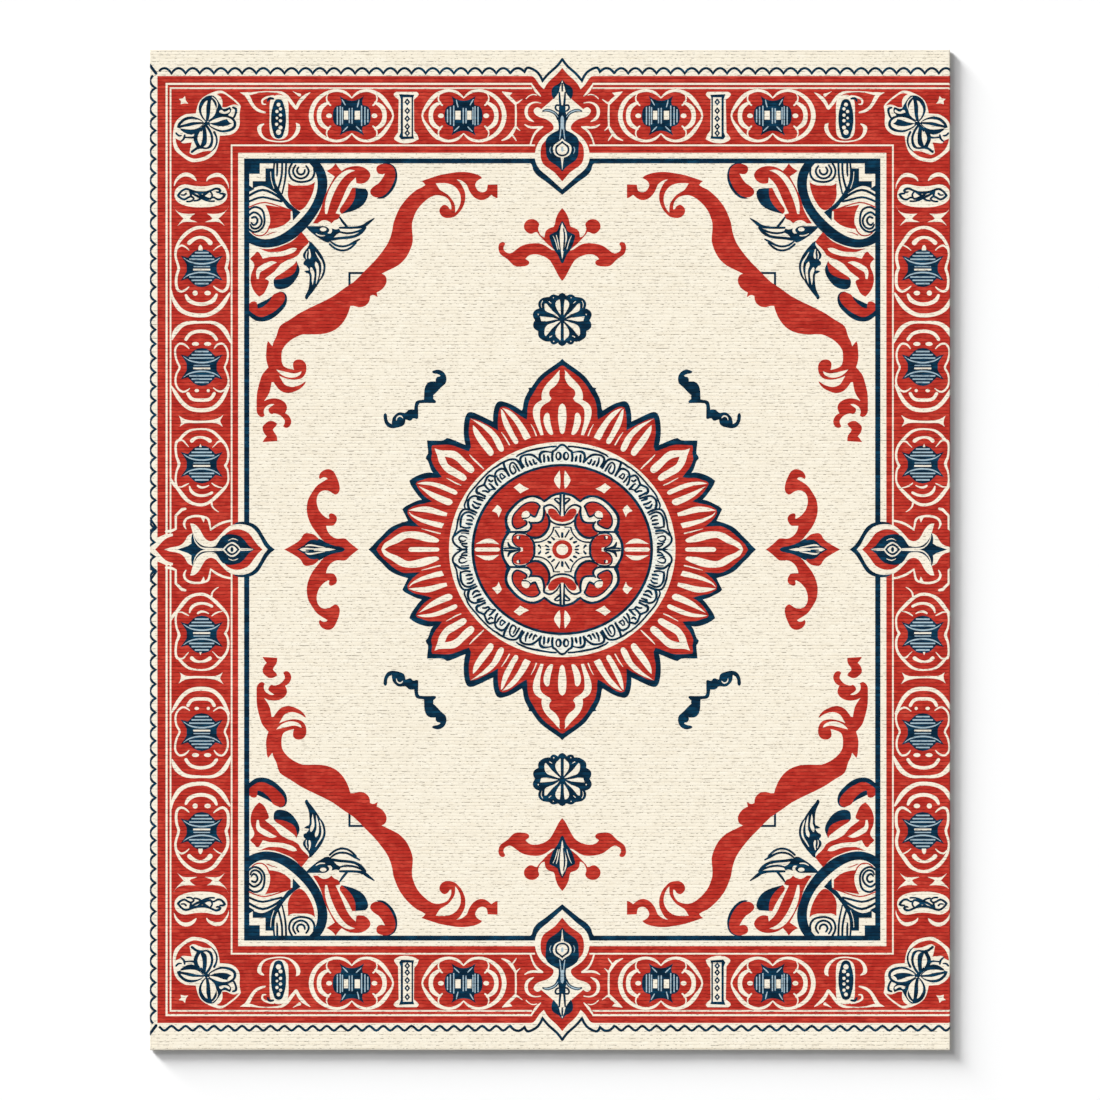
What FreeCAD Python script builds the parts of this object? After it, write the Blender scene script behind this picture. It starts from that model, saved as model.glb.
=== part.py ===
import FreeCAD, Part

import os

import Sketcher

# An 8 ft by 10 ft area rug lying flat. The frame has its origin at the centre of the underside,
# +X across the width, +Y along the length and +Z up. Every length is in millimetres.
#
# From the floor up the rug is: a backing cloth inside four folded hems, a needled felt, a latex
# coat, the woven ground and the face yarn. The face yarn is inserted colour by colour, so each
# coloured area is a piece of its own that sits on the ground cloth and butts against the next.

DIMENSIONS = {
    "rug_width": 2438.4,
    "rug_length": 3048.0,
    # layers, from the floor up
    "hem_layer": 1.2,
    "felt_layer": 2.0,
    "latex_layer": 0.8,
    "ground_layer": 1.8,
    "face_layer": 4.2,
    # the folded hem, its mitred corner seams and the thread that holds them
    "hem_width": 32.0,
    "seam_inset": 6.0,
    "seam_end_gap": 1.0,
    "mitre_margin": 4.0,
    "thread_width": 0.8,
    "thread_height": 0.4,
    "groove_width": 1.0,
    "groove_depth": 0.5,
    # the woven design, measured from its own centre, which lies a little to the right
    "design_shift": 37.3,
    "design_rise": 1.5,
    "border_half_width": 1233.0,
    "border_half_length": 1442.0,
    "guard_half_width": 987.0,
    "guard_half_length": 1208.0,
    "line_half_width": 969.0,
    "line_half_length": 1191.0,
    "field_half_width": 953.0,
    "field_half_length": 1176.0,
    # the round medallion with its small rays and four large petals
    "ray_valley_radius": 392.0,
    "ray_tip_radius": 474.0,
    "ray_half_width": 46.0,
    "petal_tip_radius": 572.0,
    "petal_half_width": 104.0,
    "lace_outer_radius": 338.0,
    "ring_outer_radius": 268.0,
    "ring_inner_radius": 260.0,
    # the blank care label, which lies in the backing beside one hem
    "label_width": 40.0,
    "label_length": 60.0,
    "label_thick": 0.3,
    "label_inset": 120.0,
}
SMALL_RAYS = 24
LARGE_PETALS = 4
PAST = "1"  # how far a cutting sketch runs past the face that it cuts

TOTAL = (
    "(dims.hem_layer + dims.felt_layer + dims.latex_layer"
    " + dims.ground_layer + dims.face_layer)"
)
ROLL = f"({TOTAL} / 2)"  # radius of the rounded edge that the folded hem makes
FLANGE_END = f"({ROLL} + dims.hem_width)"
SEAM_LINE = f"({FLANGE_END} - dims.seam_inset)"
LATEX_BOTTOM = "(dims.hem_layer + dims.felt_layer)"
GROUND_BOTTOM = f"({LATEX_BOTTOM} + dims.latex_layer)"
FACE_BOTTOM = f"({GROUND_BOTTOM} + dims.ground_layer)"
GROOVE_ROOF = "(dims.groove_depth - dims.thread_height)"

doc = FreeCAD.newDocument("area_rug")
dims = doc.addObject("Spreadsheet::Sheet", "dims")
for row, (alias, number) in enumerate(DIMENSIONS.items(), start=1):
    dims.set(f"A{row}", alias)
    dims.set(f"B{row}", str(number))
    dims.setAlias(f"B{row}", alias)
doc.recompute()

nodes = []


def keep(feature, name):
    """Marks a document object as a sub-part: its Label is the name of its file."""
    feature.Label = name
    nodes.append(feature)
    return feature


def now(formula):
    """What an expression of the sheet's aliases comes to, as a plain number."""
    found = dims.evalExpression(formula)
    return float(getattr(found, "Value", found))


# ---- primitives and booleans -----------------------------------------------------------------


def block(name, size, corner):
    """A Part::Box whose three sides and lowest corner are expressions."""
    box = doc.addObject("Part::Box", name)
    for side, formula in zip(("Length", "Width", "Height"), size):
        box.setExpression(side, formula)
    for axis, formula in zip("xyz", corner):
        box.setExpression(f"Placement.Base.{axis}", formula)
    return box


def layer(name, inset, bottom, height):
    """A block that stops inset short of the rug's outline on all four sides."""
    size = (f"dims.rug_width - 2 * {inset}", f"dims.rug_length - 2 * {inset}", height)
    corner = (f"{inset} - dims.rug_width / 2", f"{inset} - dims.rug_length / 2", bottom)
    return block(name, size, corner)


def design_block(name, half_width, half_length):
    """A block of face yarn centred on the woven design."""
    size = (f"2 * {half_width}", f"2 * {half_length}", "dims.face_layer")
    corner = (
        f"dims.design_shift - {half_width}",
        f"dims.design_rise - {half_length}",
        FACE_BOTTOM,
    )
    return block(name, size, corner)


def place_on_design(feature):
    """Puts a round feature on the design's centre, at the foot of the face yarn."""
    feature.setExpression("Placement.Base.x", "dims.design_shift")
    feature.setExpression("Placement.Base.y", "dims.design_rise")
    feature.setExpression("Placement.Base.z", FACE_BOTTOM)


def design_disc(name, radius):
    """A disc of face yarn centred on the woven design."""
    disc = doc.addObject("Part::Cylinder", name)
    disc.setExpression("Radius", radius)
    disc.setExpression("Height", "dims.face_layer")
    place_on_design(disc)
    return disc


def boolean(kind, name, base, tool):
    """Part::Cut gives base less tool, and Part::Common what the two share."""
    made = doc.addObject(kind, name)
    made.Base = base
    made.Tool = tool
    return made


# ---- sketches ---------------------------------------------------------------------------------


def origin_feature(body, role):
    """One of the body's own origin planes or axes."""
    return next(f for f in body.Origin.OriginFeatures if f.Role == role)


def new_sketch(body, role, name):
    sketch = body.newObject("Sketcher::SketchObject", name)
    sketch.AttachmentSupport = [(origin_feature(body, role), "")]
    sketch.MapMode = "FlatFace"
    return sketch


def pin(sketch, geometry, end, name, across, up):
    """Fixes a point of the sketch at (across, up) from its origin by two expressions."""
    for kind, letter, formula in (("DistanceX", "x", across), ("DistanceY", "y", up)):
        index = sketch.addConstraint(
            Sketcher.Constraint(kind, -1, 1, geometry, end, now(formula))
        )
        sketch.renameConstraint(index, f"{name}_{letter}")
        sketch.setExpression(f"Constraints.{name}_{letter}", formula)


def straight_lines(sketch, name, corners, closed=True):
    """Lines from corner to corner, each corner an (across, up) pair of expressions."""
    points = [FreeCAD.Vector(now(across), now(up), 0) for across, up in corners]
    count = len(points)
    first = sketch.GeometryCount
    sides = count if closed else count - 1
    for i in range(sides):
        sketch.addGeometry(Part.LineSegment(points[i], points[(i + 1) % count]), False)
    for i in range(sides if closed else sides - 1):
        following = first + (i + 1) % sides
        sketch.addConstraint(
            Sketcher.Constraint("Coincident", first + i, 2, following, 1)
        )
    for i, (across, up) in enumerate(corners):
        geometry, end = (first + i, 1) if i < sides else (first + sides - 1, 2)
        pin(sketch, geometry, end, f"{name}{i}", across, up)


def rectangle(sketch, name, left, bottom, right, top):
    corners = ((left, bottom), (right, bottom), (right, top), (left, top))
    straight_lines(sketch, name, corners)


def circle(sketch, name, radius):
    """A circle about the sketch's origin."""
    index = sketch.addGeometry(
        Part.Circle(FreeCAD.Vector(0, 0, 0), FreeCAD.Vector(0, 0, 1), now(radius)),
        False,
    )
    sketch.addConstraint(Sketcher.Constraint("Coincident", index, 3, -1, 1))
    size = sketch.addConstraint(Sketcher.Constraint("Radius", index, now(radius)))
    sketch.renameConstraint(size, name)
    sketch.setExpression(f"Constraints.{name}", radius)


def pad(body, sketch, name, length, side="One side"):
    made = body.newObject("PartDesign::Pad", name)
    made.Profile = sketch
    made.setExpression("Length", length)
    made.SideType = side
    body.Tip = made
    return made


def pocket(body, sketch, name, depth):
    """Cuts depth to each side of the sketch's plane, so it can't point away from the solid."""
    doc.recompute()
    before = body.Shape.Volume
    made = body.newObject("PartDesign::Pocket", name)
    made.Profile = sketch
    made.SideType = "Symmetric"
    made.setExpression("Length", f"2 * {depth}")
    body.Tip = made
    doc.recompute()
    if not body.Shape.Volume < before:
        raise RuntimeError(f"{name} cuts nothing from {body.Name}")
    return made


def ring_of(body, feature, name, count):
    """Repeats a feature count times round the body's Z axis."""
    doc.recompute()
    made = body.newObject("PartDesign::PolarPattern", name)
    made.Originals = [feature]
    made.Axis = (origin_feature(body, "Z_Axis"), [""])
    made.Angle = 360
    made.Occurrences = count
    body.Tip = made
    return made


# ---- face yarn --------------------------------------------------------------------------------


def pointed_tongue(body, name, half_width, tip):
    """A triangular tongue of yarn that points away from the medallion's centre."""
    sketch = new_sketch(body, "XY_Plane", f"{name}_outline")
    foot = "dims.lace_outer_radius + 2"
    corners = ((f"-{half_width}", foot), (half_width, foot), ("0", tip))
    straight_lines(sketch, name, corners)
    return pad(body, sketch, f"{name}_pad", "dims.face_layer")


def medallion_blank():
    """The whole rayed medallion: a disc, small rays all round and four large petals."""
    body = doc.addObject("PartDesign::Body", "medallion_blank")
    disc = new_sketch(body, "XY_Plane", "valley_circle")
    circle(disc, "valley_radius", "dims.ray_valley_radius")
    pad(body, disc, "valley_disc", "dims.face_layer")
    ray = pointed_tongue(body, "ray", "dims.ray_half_width", "dims.ray_tip_radius")
    ring_of(body, ray, "small_rays", SMALL_RAYS)
    petal = pointed_tongue(
        body, "petal", "dims.petal_half_width", "dims.petal_tip_radius"
    )
    ring_of(body, petal, "large_petals", LARGE_PETALS)
    place_on_design(body)
    return body


def face_yarn():
    """The coloured areas of the face, from the plain margin in to the red centre disc."""
    slab = layer("face_slab", ROLL, FACE_BOTTOM, "dims.face_layer")
    border = design_block(
        "border_block", "dims.border_half_width", "dims.border_half_length"
    )
    guard = design_block(
        "guard_block", "dims.guard_half_width", "dims.guard_half_length"
    )
    line = design_block("line_block", "dims.line_half_width", "dims.line_half_length")
    field = design_block(
        "field_block", "dims.field_half_width", "dims.field_half_length"
    )
    medallion = medallion_blank()
    lace = design_disc("lace_disc", "dims.lace_outer_radius")
    ring = design_disc("ring_disc", "dims.ring_outer_radius")
    centre = design_disc("centre_disc", "dims.ring_inner_radius")

    # the border runs off the rug's right-hand edge, so the slab trims it there
    trimmed = boolean("Part::Common", "trimmed_border", slab, border)
    areas = (
        ("face_cream_margin", slab, border),
        ("face_red_border", trimmed, guard),
        ("face_cream_guard", guard, line),
        ("face_navy_line", line, field),
        ("face_cream_field", field, medallion),
        ("face_red_rays", medallion, lace),
        ("face_cream_lace", lace, ring),
        ("face_navy_ring", ring, centre),
    )
    for name, base, tool in areas:
        keep(boolean("Part::Cut", name, base, tool), name)
    keep(centre, "face_red_disc")


# ---- core layers ------------------------------------------------------------------------------


def core_layers():
    """Felt, latex and woven ground, which all stop where the rounded edge begins."""
    felt = layer("felt", ROLL, "dims.hem_layer", "dims.felt_layer")
    latex = layer("latex", ROLL, LATEX_BOTTOM, "dims.latex_layer")
    ground = layer("ground", ROLL, GROUND_BOTTOM, "dims.ground_layer")
    keep(felt, "cushion_felt")
    keep(latex, "latex_coat")
    keep(ground, "woven_ground")


def backing_and_label():
    """The backing cloth fills the frame of hems, with a shallow dip for the care label."""
    body = doc.addObject("PartDesign::Body", "backing")
    half_width = f"(dims.rug_width / 2 - {FLANGE_END})"
    half_length = f"(dims.rug_length / 2 - {FLANGE_END})"
    outline = new_sketch(body, "XY_Plane", "backing_outline")
    rectangle(
        outline,
        "edge",
        f"-{half_width}",
        f"-{half_length}",
        half_width,
        half_length,
    )
    pad(body, outline, "backing_pad", "dims.hem_layer")

    left = f"dims.label_inset - {half_width}"
    bottom = f"-{half_length}"
    dip = new_sketch(body, "XY_Plane", "label_dip_outline")
    rectangle(
        dip,
        "dip",
        left,
        bottom,
        f"{left} + dims.label_width",
        f"{bottom} + dims.label_length",
    )
    pocket(body, dip, "label_dip", "dims.label_thick")
    keep(body, "backing_cloth")

    size = ("dims.label_width", "dims.label_length", "dims.label_thick")
    keep(block("label", size, (left, bottom, "0")), "care_label")


# ---- hems and thread --------------------------------------------------------------------------


def hem_profile(body):
    """Half-round outer edge, a flange folded under the rug, and the groove for the seam.

    Across runs inwards from the rug's outer edge, and up from the floor.
    """
    sketch = new_sketch(body, "XZ_Plane", "hem_profile")
    near = f"({SEAM_LINE} - dims.groove_width / 2)"
    far = f"({SEAM_LINE} + dims.groove_width / 2)"
    corners = (
        (ROLL, "0"),
        (near, "0"),
        (near, "dims.groove_depth"),
        (far, "dims.groove_depth"),
        (far, "0"),
        (FLANGE_END, "0"),
        (FLANGE_END, "dims.hem_layer"),
        (ROLL, "dims.hem_layer"),
        (ROLL, TOTAL),
    )
    straight_lines(sketch, "corner", corners, closed=False)
    radius = now(ROLL)
    arc = sketch.addGeometry(
        Part.Arc(
            FreeCAD.Vector(radius, now(TOTAL), 0),
            FreeCAD.Vector(0, radius, 0),
            FreeCAD.Vector(radius, 0, 0),
        ),
        False,
    )
    # the arc's two ends meet the last and the first corner, and its centre is between them
    curve = sketch.Geometry[arc]
    starts_high = curve.StartPoint.y > radius
    high_end, low_end = (1, 2) if starts_high else (2, 1)
    last_line = len(corners) - 2
    sketch.addConstraint(Sketcher.Constraint("Coincident", last_line, 2, arc, high_end))
    sketch.addConstraint(Sketcher.Constraint("Coincident", 0, 1, arc, low_end))
    sketch.addConstraint(Sketcher.Constraint("PointOnObject", arc, 3, last_line))
    return sketch


def hem(name, side_length, angle, centre_x, centre_y):
    """One mitred hem. It is drawn along Y with its outer edge on X = 0, then turned into place."""
    body = doc.addObject("PartDesign::Body", name)
    pad(body, hem_profile(body), f"{name}_pad", side_length, "Symmetric")

    corner = f"{side_length} / 2"
    mitres = new_sketch(body, "XY_Plane", f"{name}_mitres")
    grooves = new_sketch(body, "XY_Plane", f"{name}_mitre_grooves")
    begin = f"({ROLL} + dims.mitre_margin)"
    finish = f"({SEAM_LINE} - dims.mitre_margin)"
    slant = "(dims.groove_width / sqrt(2))"
    for label, sign in (("upper", ""), ("lower", "-")):
        straight_lines(
            mitres,
            label,
            (
                (f"-{PAST}", f"{sign}({corner} + {PAST})"),
                (f"{FLANGE_END} + {PAST}", f"{sign}({corner} + {PAST})"),
                (
                    f"{FLANGE_END} + {PAST}",
                    f"{sign}({corner} - {FLANGE_END} - {PAST})",
                ),
            ),
        )
        straight_lines(
            grooves,
            label,
            (
                (begin, f"{sign}({corner} - {begin} + {PAST})"),
                (finish, f"{sign}({corner} - {finish} + {PAST})"),
                (finish, f"{sign}({corner} - {finish} - {slant})"),
                (begin, f"{sign}({corner} - {begin} - {slant})"),
            ),
        )
    pocket(body, mitres, f"{name}_mitre_cut", TOTAL)
    pocket(body, grooves, f"{name}_groove_cut", "dims.groove_depth")

    body.Placement = FreeCAD.Placement(
        FreeCAD.Vector(now(centre_x), now(centre_y), 0),
        FreeCAD.Rotation(FreeCAD.Vector(0, 0, 1), angle),
    )
    body.setExpression("Placement.Base.x", centre_x)
    body.setExpression("Placement.Base.y", centre_y)
    return keep(body, name)


def hems():
    half_width = "dims.rug_width / 2"
    half_length = "dims.rug_length / 2"
    hem("hem_left", "dims.rug_length", 0, f"-{half_width}", "0")
    hem("hem_right", "dims.rug_length", 180, half_width, "0")
    hem("hem_near_end", "dims.rug_width", 90, "0", f"-{half_length}")
    hem("hem_far_end", "dims.rug_width", -90, "0", half_length)


def seam_threads():
    """One straight seam thread under each hem, in the roof of its groove."""
    wide, long_ = "dims.rug_width", "dims.rug_length"
    ends = f"2 * ({SEAM_LINE} + dims.seam_end_gap)"
    half = "dims.thread_width / 2"
    for name, sign in (("left", -1), ("right", 1)):
        line = f"{sign} * ({wide} / 2 - {SEAM_LINE})"
        size = ("dims.thread_width", f"{long_} - {ends}", "dims.thread_height")
        corner = (f"{line} - {half}", f"({ends} - {long_}) / 2", GROOVE_ROOF)
        keep(block(f"thread_{name}", size, corner), f"seam_thread_{name}")
    for name, sign in (("near_end", -1), ("far_end", 1)):
        line = f"{sign} * ({long_} / 2 - {SEAM_LINE})"
        size = (f"{wide} - {ends}", "dims.thread_width", "dims.thread_height")
        corner = (f"({ends} - {wide}) / 2", f"{line} - {half}", GROOVE_ROOF)
        keep(block(f"thread_{name}", size, corner), f"seam_thread_{name}")


def mitre_threads():
    """The four short seams that close the mitred corners, as one group of separate solids."""
    begin = now(f"{ROLL} + dims.mitre_margin + dims.seam_end_gap")
    finish = now(f"{SEAM_LINE} - dims.mitre_margin - dims.seam_end_gap")
    run = (finish - begin) * 2**0.5
    wide, high = now("dims.thread_width"), now("dims.thread_height")
    solids = []
    for x_sign in (-1, 1):
        for y_sign in (-1, 1):
            bar = Part.makeBox(run, wide, high, FreeCAD.Vector(-run / 2, -wide / 2, 0))
            middle = (begin + finish) / 2
            bar.Placement = FreeCAD.Placement(
                FreeCAD.Vector(
                    x_sign * (now("dims.rug_width / 2") - middle),
                    y_sign * (now("dims.rug_length / 2") - middle),
                    now(GROOVE_ROOF),
                ),
                FreeCAD.Rotation(FreeCAD.Vector(0, 0, 1), 45 * x_sign * y_sign),
            )
            solids.append(bar)
    group = doc.addObject("Part::Feature", "mitre_seams")
    group.Shape = Part.makeCompound(solids)
    keep(group, "mitre_threads")


# ---- building and writing ---------------------------------------------------------------------


def check_document():
    """Stops if a feature failed quietly or a sub-part isn't a sound solid."""
    for feature in doc.Objects:
        if {"Invalid", "Error"} & set(feature.State):
            raise RuntimeError(f"{feature.Name} failed: {feature.State}")
    for feature in nodes:
        shape = feature.Shape
        if shape.isNull() or not shape.isValid() or not shape.Solids:
            raise RuntimeError(f"{feature.Label} is not a valid solid")


def write_parts():
    os.makedirs("parts", exist_ok=True)
    for feature in nodes:
        feature.Shape.exportStep(f"parts/{feature.Label}.step")
        box = feature.Shape.BoundBox
        print(
            f"{feature.Label:22s} {len(feature.Shape.Solids)} solid(s)"
            f" {box.XLength:8.1f} x {box.YLength:8.1f} x {box.ZLength:5.1f} mm"
            f" {feature.Shape.Volume / 1e6:9.3f} litres"
        )


face_yarn()
core_layers()
backing_and_label()
hems()
seam_threads()
mitre_threads()
doc.recompute()
check_document()
write_parts()
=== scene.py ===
"""Blender model of a large area rug in red, navy, cream and pale blue: ribbed, hemmed and lying flat.

Every piece is a surface worked out here. The pattern's outlines are laid over one another like cut
paper, and the whole face is then parted along them, so that each yarn is its own closed solid.
"""

import bpy
import numpy as np
from mathutils.geometry import delaunay_2d_cdt
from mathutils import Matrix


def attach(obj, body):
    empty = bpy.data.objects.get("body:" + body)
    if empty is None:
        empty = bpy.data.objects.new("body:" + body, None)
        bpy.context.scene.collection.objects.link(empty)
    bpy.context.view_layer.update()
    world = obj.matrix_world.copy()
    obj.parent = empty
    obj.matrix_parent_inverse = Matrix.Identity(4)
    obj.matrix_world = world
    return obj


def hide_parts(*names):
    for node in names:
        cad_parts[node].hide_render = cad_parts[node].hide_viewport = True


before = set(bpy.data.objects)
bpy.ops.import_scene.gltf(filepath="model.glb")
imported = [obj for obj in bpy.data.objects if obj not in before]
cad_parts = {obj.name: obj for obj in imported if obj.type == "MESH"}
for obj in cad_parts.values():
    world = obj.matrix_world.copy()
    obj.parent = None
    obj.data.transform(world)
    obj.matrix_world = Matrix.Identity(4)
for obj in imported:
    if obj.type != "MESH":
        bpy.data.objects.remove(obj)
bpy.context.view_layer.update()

# Millimetres, in the rug's own frame: x across, y along, z up from the floor.
WIDTH = 2438.4
LENGTH = 3048.0
HALF_X = WIDTH / 2
HALF_Y = LENGTH / 2
THICK = 10.0
ROLL = 5.0
FACE_BASE = 5.8
FACE_X = HALF_X - ROLL
FACE_Y = HALF_Y - ROLL
# The pattern stands to the right of the middle, so that its border runs off the right edge.
PATTERN_X = 37.3
PATTERN_Y = 1.5
# No drawn curve strays from its true line by more than SAG. Points nearer than SAME_POINT are one, a
# triangle under NO_AREA is dropped, and AT_ONCE pairs of points and corners are worked on together.
SAG = 0.35
SAME_POINT = 1e-4
NO_AREA = 1e-7
AT_ONCE = 4000000

# The ribs: pitch, half the width of the gap between two, and that gap's depth where it is open or shut.
RIB = 10.4
RIB_HALF_GAP = 1.9
GAP_DEPTH = 1.2
GAP_SHALLOW = 0.25
SEED = 7
RIB_POINTS = 70
RIB_STEPS = (18, 60)
OPEN_SHARE = 0.42
OPEN_DEPTHS = (0.5, 1.0)
SHUT_DEPTHS = (0.0, 0.3)
LOOP = 4.4

# Hem, layers, label and stitches. The roll has ROLL_POINTS points in its section, and its first
# YARN_ON_ROLL show the pattern's yarn; the gaps between ribs are ROLL_GAP as deep there as on the face.
SEAM = 31.0
FLANGE = 37.0
FLANGE_THICK = 1.2
FLANGE_BEND = 18
GROOVE = 0.5
ROLL_POINTS = 13
YARN_ON_ROLL = 9
ROLL_GAP = 0.7
MITRE_REACH = 60.0
FELT_TOP = 3.2
LATEX_TOP = 4.0
LABEL = (40.0, 60.0)
LABEL_IN = 120.0
LABEL_THICK = 0.3
STITCH_LONG = 4.2
STITCH_PITCH = 5.0
STITCH_WIDE = 0.8
STITCH_TALL = 0.4
STITCH_Z = 0.3
MITRE_STITCH_Z = 0.0
MITRE_STITCHES = (10.5, 25.5, 5)
# The backing sags and rises by SWAY, but not within SWAY_EDGE of its edge.
SWAY = 0.12
SWAY_EDGE = 60

# Linear colours. Navy figures of these zones are let out a little, as yarn spreads over its outline.
INK = {"margin_navy": 0.5, "border_navy": 0.9, "field_navy": 0.9, "rays_navy": 0.9, "lace_navy": 0.9,
       "disc_navy": 0.9}
TAPE = (0.72, 0.65, 0.51)
FLOOR = (0.92, 0.92, 0.92)

COLOURS = {"cream": (0.875, 0.815, 0.68), "cool": (0.83, 0.835, 0.755), "red": (0.50, 0.032, 0.020),
           "navy": (0.002, 0.024, 0.056), "steel": (0.38, 0.50, 0.56)}
# The pattern pieces whose cream is the cooler one.
COOL = ("lace_cream",)
# The visual pieces that stand for a CAD node; the other pattern pieces lie beside them.
STANDS_FOR = {
    "margin_cream": "face_cream_margin", "border_red": "face_red_border", "guard_cream": "face_cream_guard",
    "line_navy": "face_navy_line", "field_cream": "face_cream_field", "rays_red": "face_red_rays",
    "lace_cream": "face_cream_lace", "ring_navy": "face_navy_ring", "disc_red": "face_red_disc",
}

# Floor height in metres; then each lamp's name, strength, height and bearing in degrees, apparent size
# in degrees, and what it lights. The two low ones give the floor its soft shadow.
FLOOR_Z = -0.0004
ROOM_LIGHT = 0.27
SUNS = (("low_window", 19.0, 5, 135, 16, "floor"), ("window", 3.9, 14, 135, 26, "floor"),
        ("overhead", 3.4, 55, 135, 25, "rug"))
# The camera looks straight down from CAMERA_UP metres, and sees VIEW_WIDE metres of floor.
CAMERA_UP = 12.0
VIEW_WIDE = 3.3528
SENSOR = 36

# ---------------------------------------------------------------- writing outlines
# The pattern is drawn once, in millimetres from its own centre, in the quarter where x and y are
# positive, and laid two or four ways. An outline is written as "x y, x y*, x y w": each point's
# place, a star where the line turns sharply, and for a stroke its width there.
ONCE = ((1, 1),)
SIDES = ((1, 1), (-1, 1))
ENDS = ((1, 1), (1, -1))
FOUR = ((1, 1), (-1, 1), (1, -1), (-1, -1))

layers = []


def written(text):
    """Places and widths (N, 3) and corner marks (N,) of a written outline."""
    rows = [row.split() for row in text.replace("*", " *").split(",")]
    corner = np.array([row[-1] == "*" for row in rows])
    numbers = [[float(word) for word in row if word != "*"] for row in rows]
    place = np.array([row + [0.0] * (3 - len(row)) for row in numbers])
    return place, corner


def smooth(place, corner, closed):
    """Points along the smooth line through `place`, closed or open, broken at the corners.

    Each span is the cubic P(t) = h00 p0 + h10 L m0 + h01 p1 + h11 L m1 over its chord L. The slope m of
    a free point is that of the parabola through it and its neighbours; at a corner it is 1.5 times the
    chord's less half the other end's. A span has sqrt(L x turn / 8 SAG) parts, so no chord is more than
    SAG from the curve.
    """
    step = np.roll(place, -1, 0) - place
    length = np.maximum(np.hypot(step[:, 0], step[:, 1]), 1e-6)[:, None]
    chord = step / length
    back = np.roll(chord, 1, 0)
    back_length = np.roll(length, 1, 0)
    slope = (back * length + chord * back_length) / (length + back_length)
    corner = corner.copy()
    if not closed:
        corner[[0, -1]] = True
    far_corner = np.roll(corner, -1)[:, None]
    near_corner = corner[:, None]
    far = np.roll(slope, -1, 0)
    out = np.where(near_corner, np.where(far_corner, chord, 1.5 * chord - 0.5 * far), slope)
    into = np.where(far_corner, np.where(near_corner, chord, 1.5 * chord - 0.5 * slope), far)
    spans = len(place) if closed else len(place) - 1
    turn = np.linalg.norm(out[:, :2] - chord[:, :2], axis=1)
    turn += np.linalg.norm(into[:, :2] - chord[:, :2], axis=1)
    parts = np.ceil(np.sqrt(length[:, 0] * turn / (8 * SAG))).astype(int).clip(1)[:spans]
    span = np.repeat(np.arange(spans), parts)
    first = np.repeat(np.cumsum(parts) - parts, parts)
    t = ((np.arange(len(span)) - first) / parts[span])[:, None]
    p0 = place[span]
    p1 = np.roll(place, -1, 0)[span]
    m0 = out[span] * length[span]
    m1 = into[span] * length[span]
    line = (2 * t**3 - 3 * t**2 + 1) * p0 + (t**3 - 2 * t**2 + t) * m0
    line += (3 * t**2 - 2 * t**3) * p1 + (t**3 - t**2) * m1
    return line if closed else np.vstack([line, place[-1:]])


def shape(text):
    """A closed outline."""
    place, corner = written(text)
    return smooth(place, corner, True)[:, :2]


def half(text, axis):
    """A closed outline from its half, mirrored over x = 0 (axis 0) or y = 0 (axis 1)."""
    place, corner = written(text)
    line = smooth(place, corner, False)[:, :2]
    other = line[::-1] * (np.arange(2) != axis) - line[::-1] * (np.arange(2) == axis)
    return np.vstack([line, other[np.abs(other[:, axis]) > 1e-6]])


def stroke(text):
    """A brush stroke: the smooth line's two sides, half its width away, with round ends."""
    place, corner = written(text)
    line = smooth(place, corner, False)
    step = np.diff(line[:, :2], axis=0)
    step /= np.maximum(np.hypot(step[:, 0], step[:, 1]), 1e-6)[:, None]
    before = np.vstack([step[:1], step])
    after = np.vstack([step, step[-1:]])
    normal = np.stack([-before[:, 1] - after[:, 1], before[:, 0] + after[:, 0]], 1)
    square = np.maximum((normal**2).sum(1), 1.0)[:, None]
    aside = normal / square * line[:, 2:3].clip(0.8)
    left = line[:, :2] + aside
    right = line[:, :2] - aside
    turn = np.pi * np.arange(1, 4) / 4
    cap = []
    for end, outward in ((-1, step[-1]), (0, -step[0])):
        across = (left - right)[end] / 2 * (1 if end else -1)
        reach = outward * max(line[end, 2] / 2, 0.4)
        cap.append(line[end, :2] + np.cos(turn)[:, None] * across + np.sin(turn)[:, None] * reach)
    return np.vstack([left, cap[0], right[::-1], cap[1]])


def oval(x, y, rx, ry, turn=0.0):
    """An ellipse: x + rx cos a, y + ry sin a, turned by `turn` degrees."""
    count = max(8, int(np.ceil(np.pi * np.sqrt(max(rx, ry) / (2 * SAG)))))
    a = 2 * np.pi * np.arange(count) / count
    c, s = np.cos(np.radians(turn)), np.sin(np.radians(turn))
    u, v = rx * np.cos(a), ry * np.sin(a)
    return np.stack([x + c * u - s * v, y + s * u + c * v], 1)


def box(x0, y0, x1, y1):
    """A rectangle."""
    return np.array([[x0, y0], [x1, y0], [x1, y1], [x0, y1]], float)


def moved(outlines, x, y, flip=(1, 1)):
    """Outlines mirrored by `flip`, then shifted by x, y."""
    return [outline * flip + (x, y) for outline in outlines]


def let_out(outline, by):
    """The outline with each point moved outward along the bisector of its sides, so that they move `by`."""
    after = np.roll(outline, -1, 0)
    turning = np.sign(np.sum(outline[:, 0] * after[:, 1] - outline[:, 1] * after[:, 0]))
    step = (after - outline) / np.maximum(np.linalg.norm(after - outline, axis=1), 1e-9)[:, None]
    normal = np.stack([step[:, 1], -step[:, 0]], 1) * turning
    both = normal + np.roll(normal, 1, 0)
    return outline + both * 2 * by / (both**2).sum(1)[:, None].clip(1.6)


def lay(piece, copies, *outlines):
    """Lays outlines over everything laid so far, in the yarn of `piece`, let out by INK."""
    for outline in outlines:
        outline = let_out(outline, INK.get(piece, 0.0))
        for sign in copies:
            layers.append((piece, outline * sign))


def strokes(*texts):
    """A stroke for each text."""
    return [stroke(text) for text in texts]


def shapes(*texts):
    """A filled shape for each text."""
    return [shape(text) for text in texts]


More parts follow.
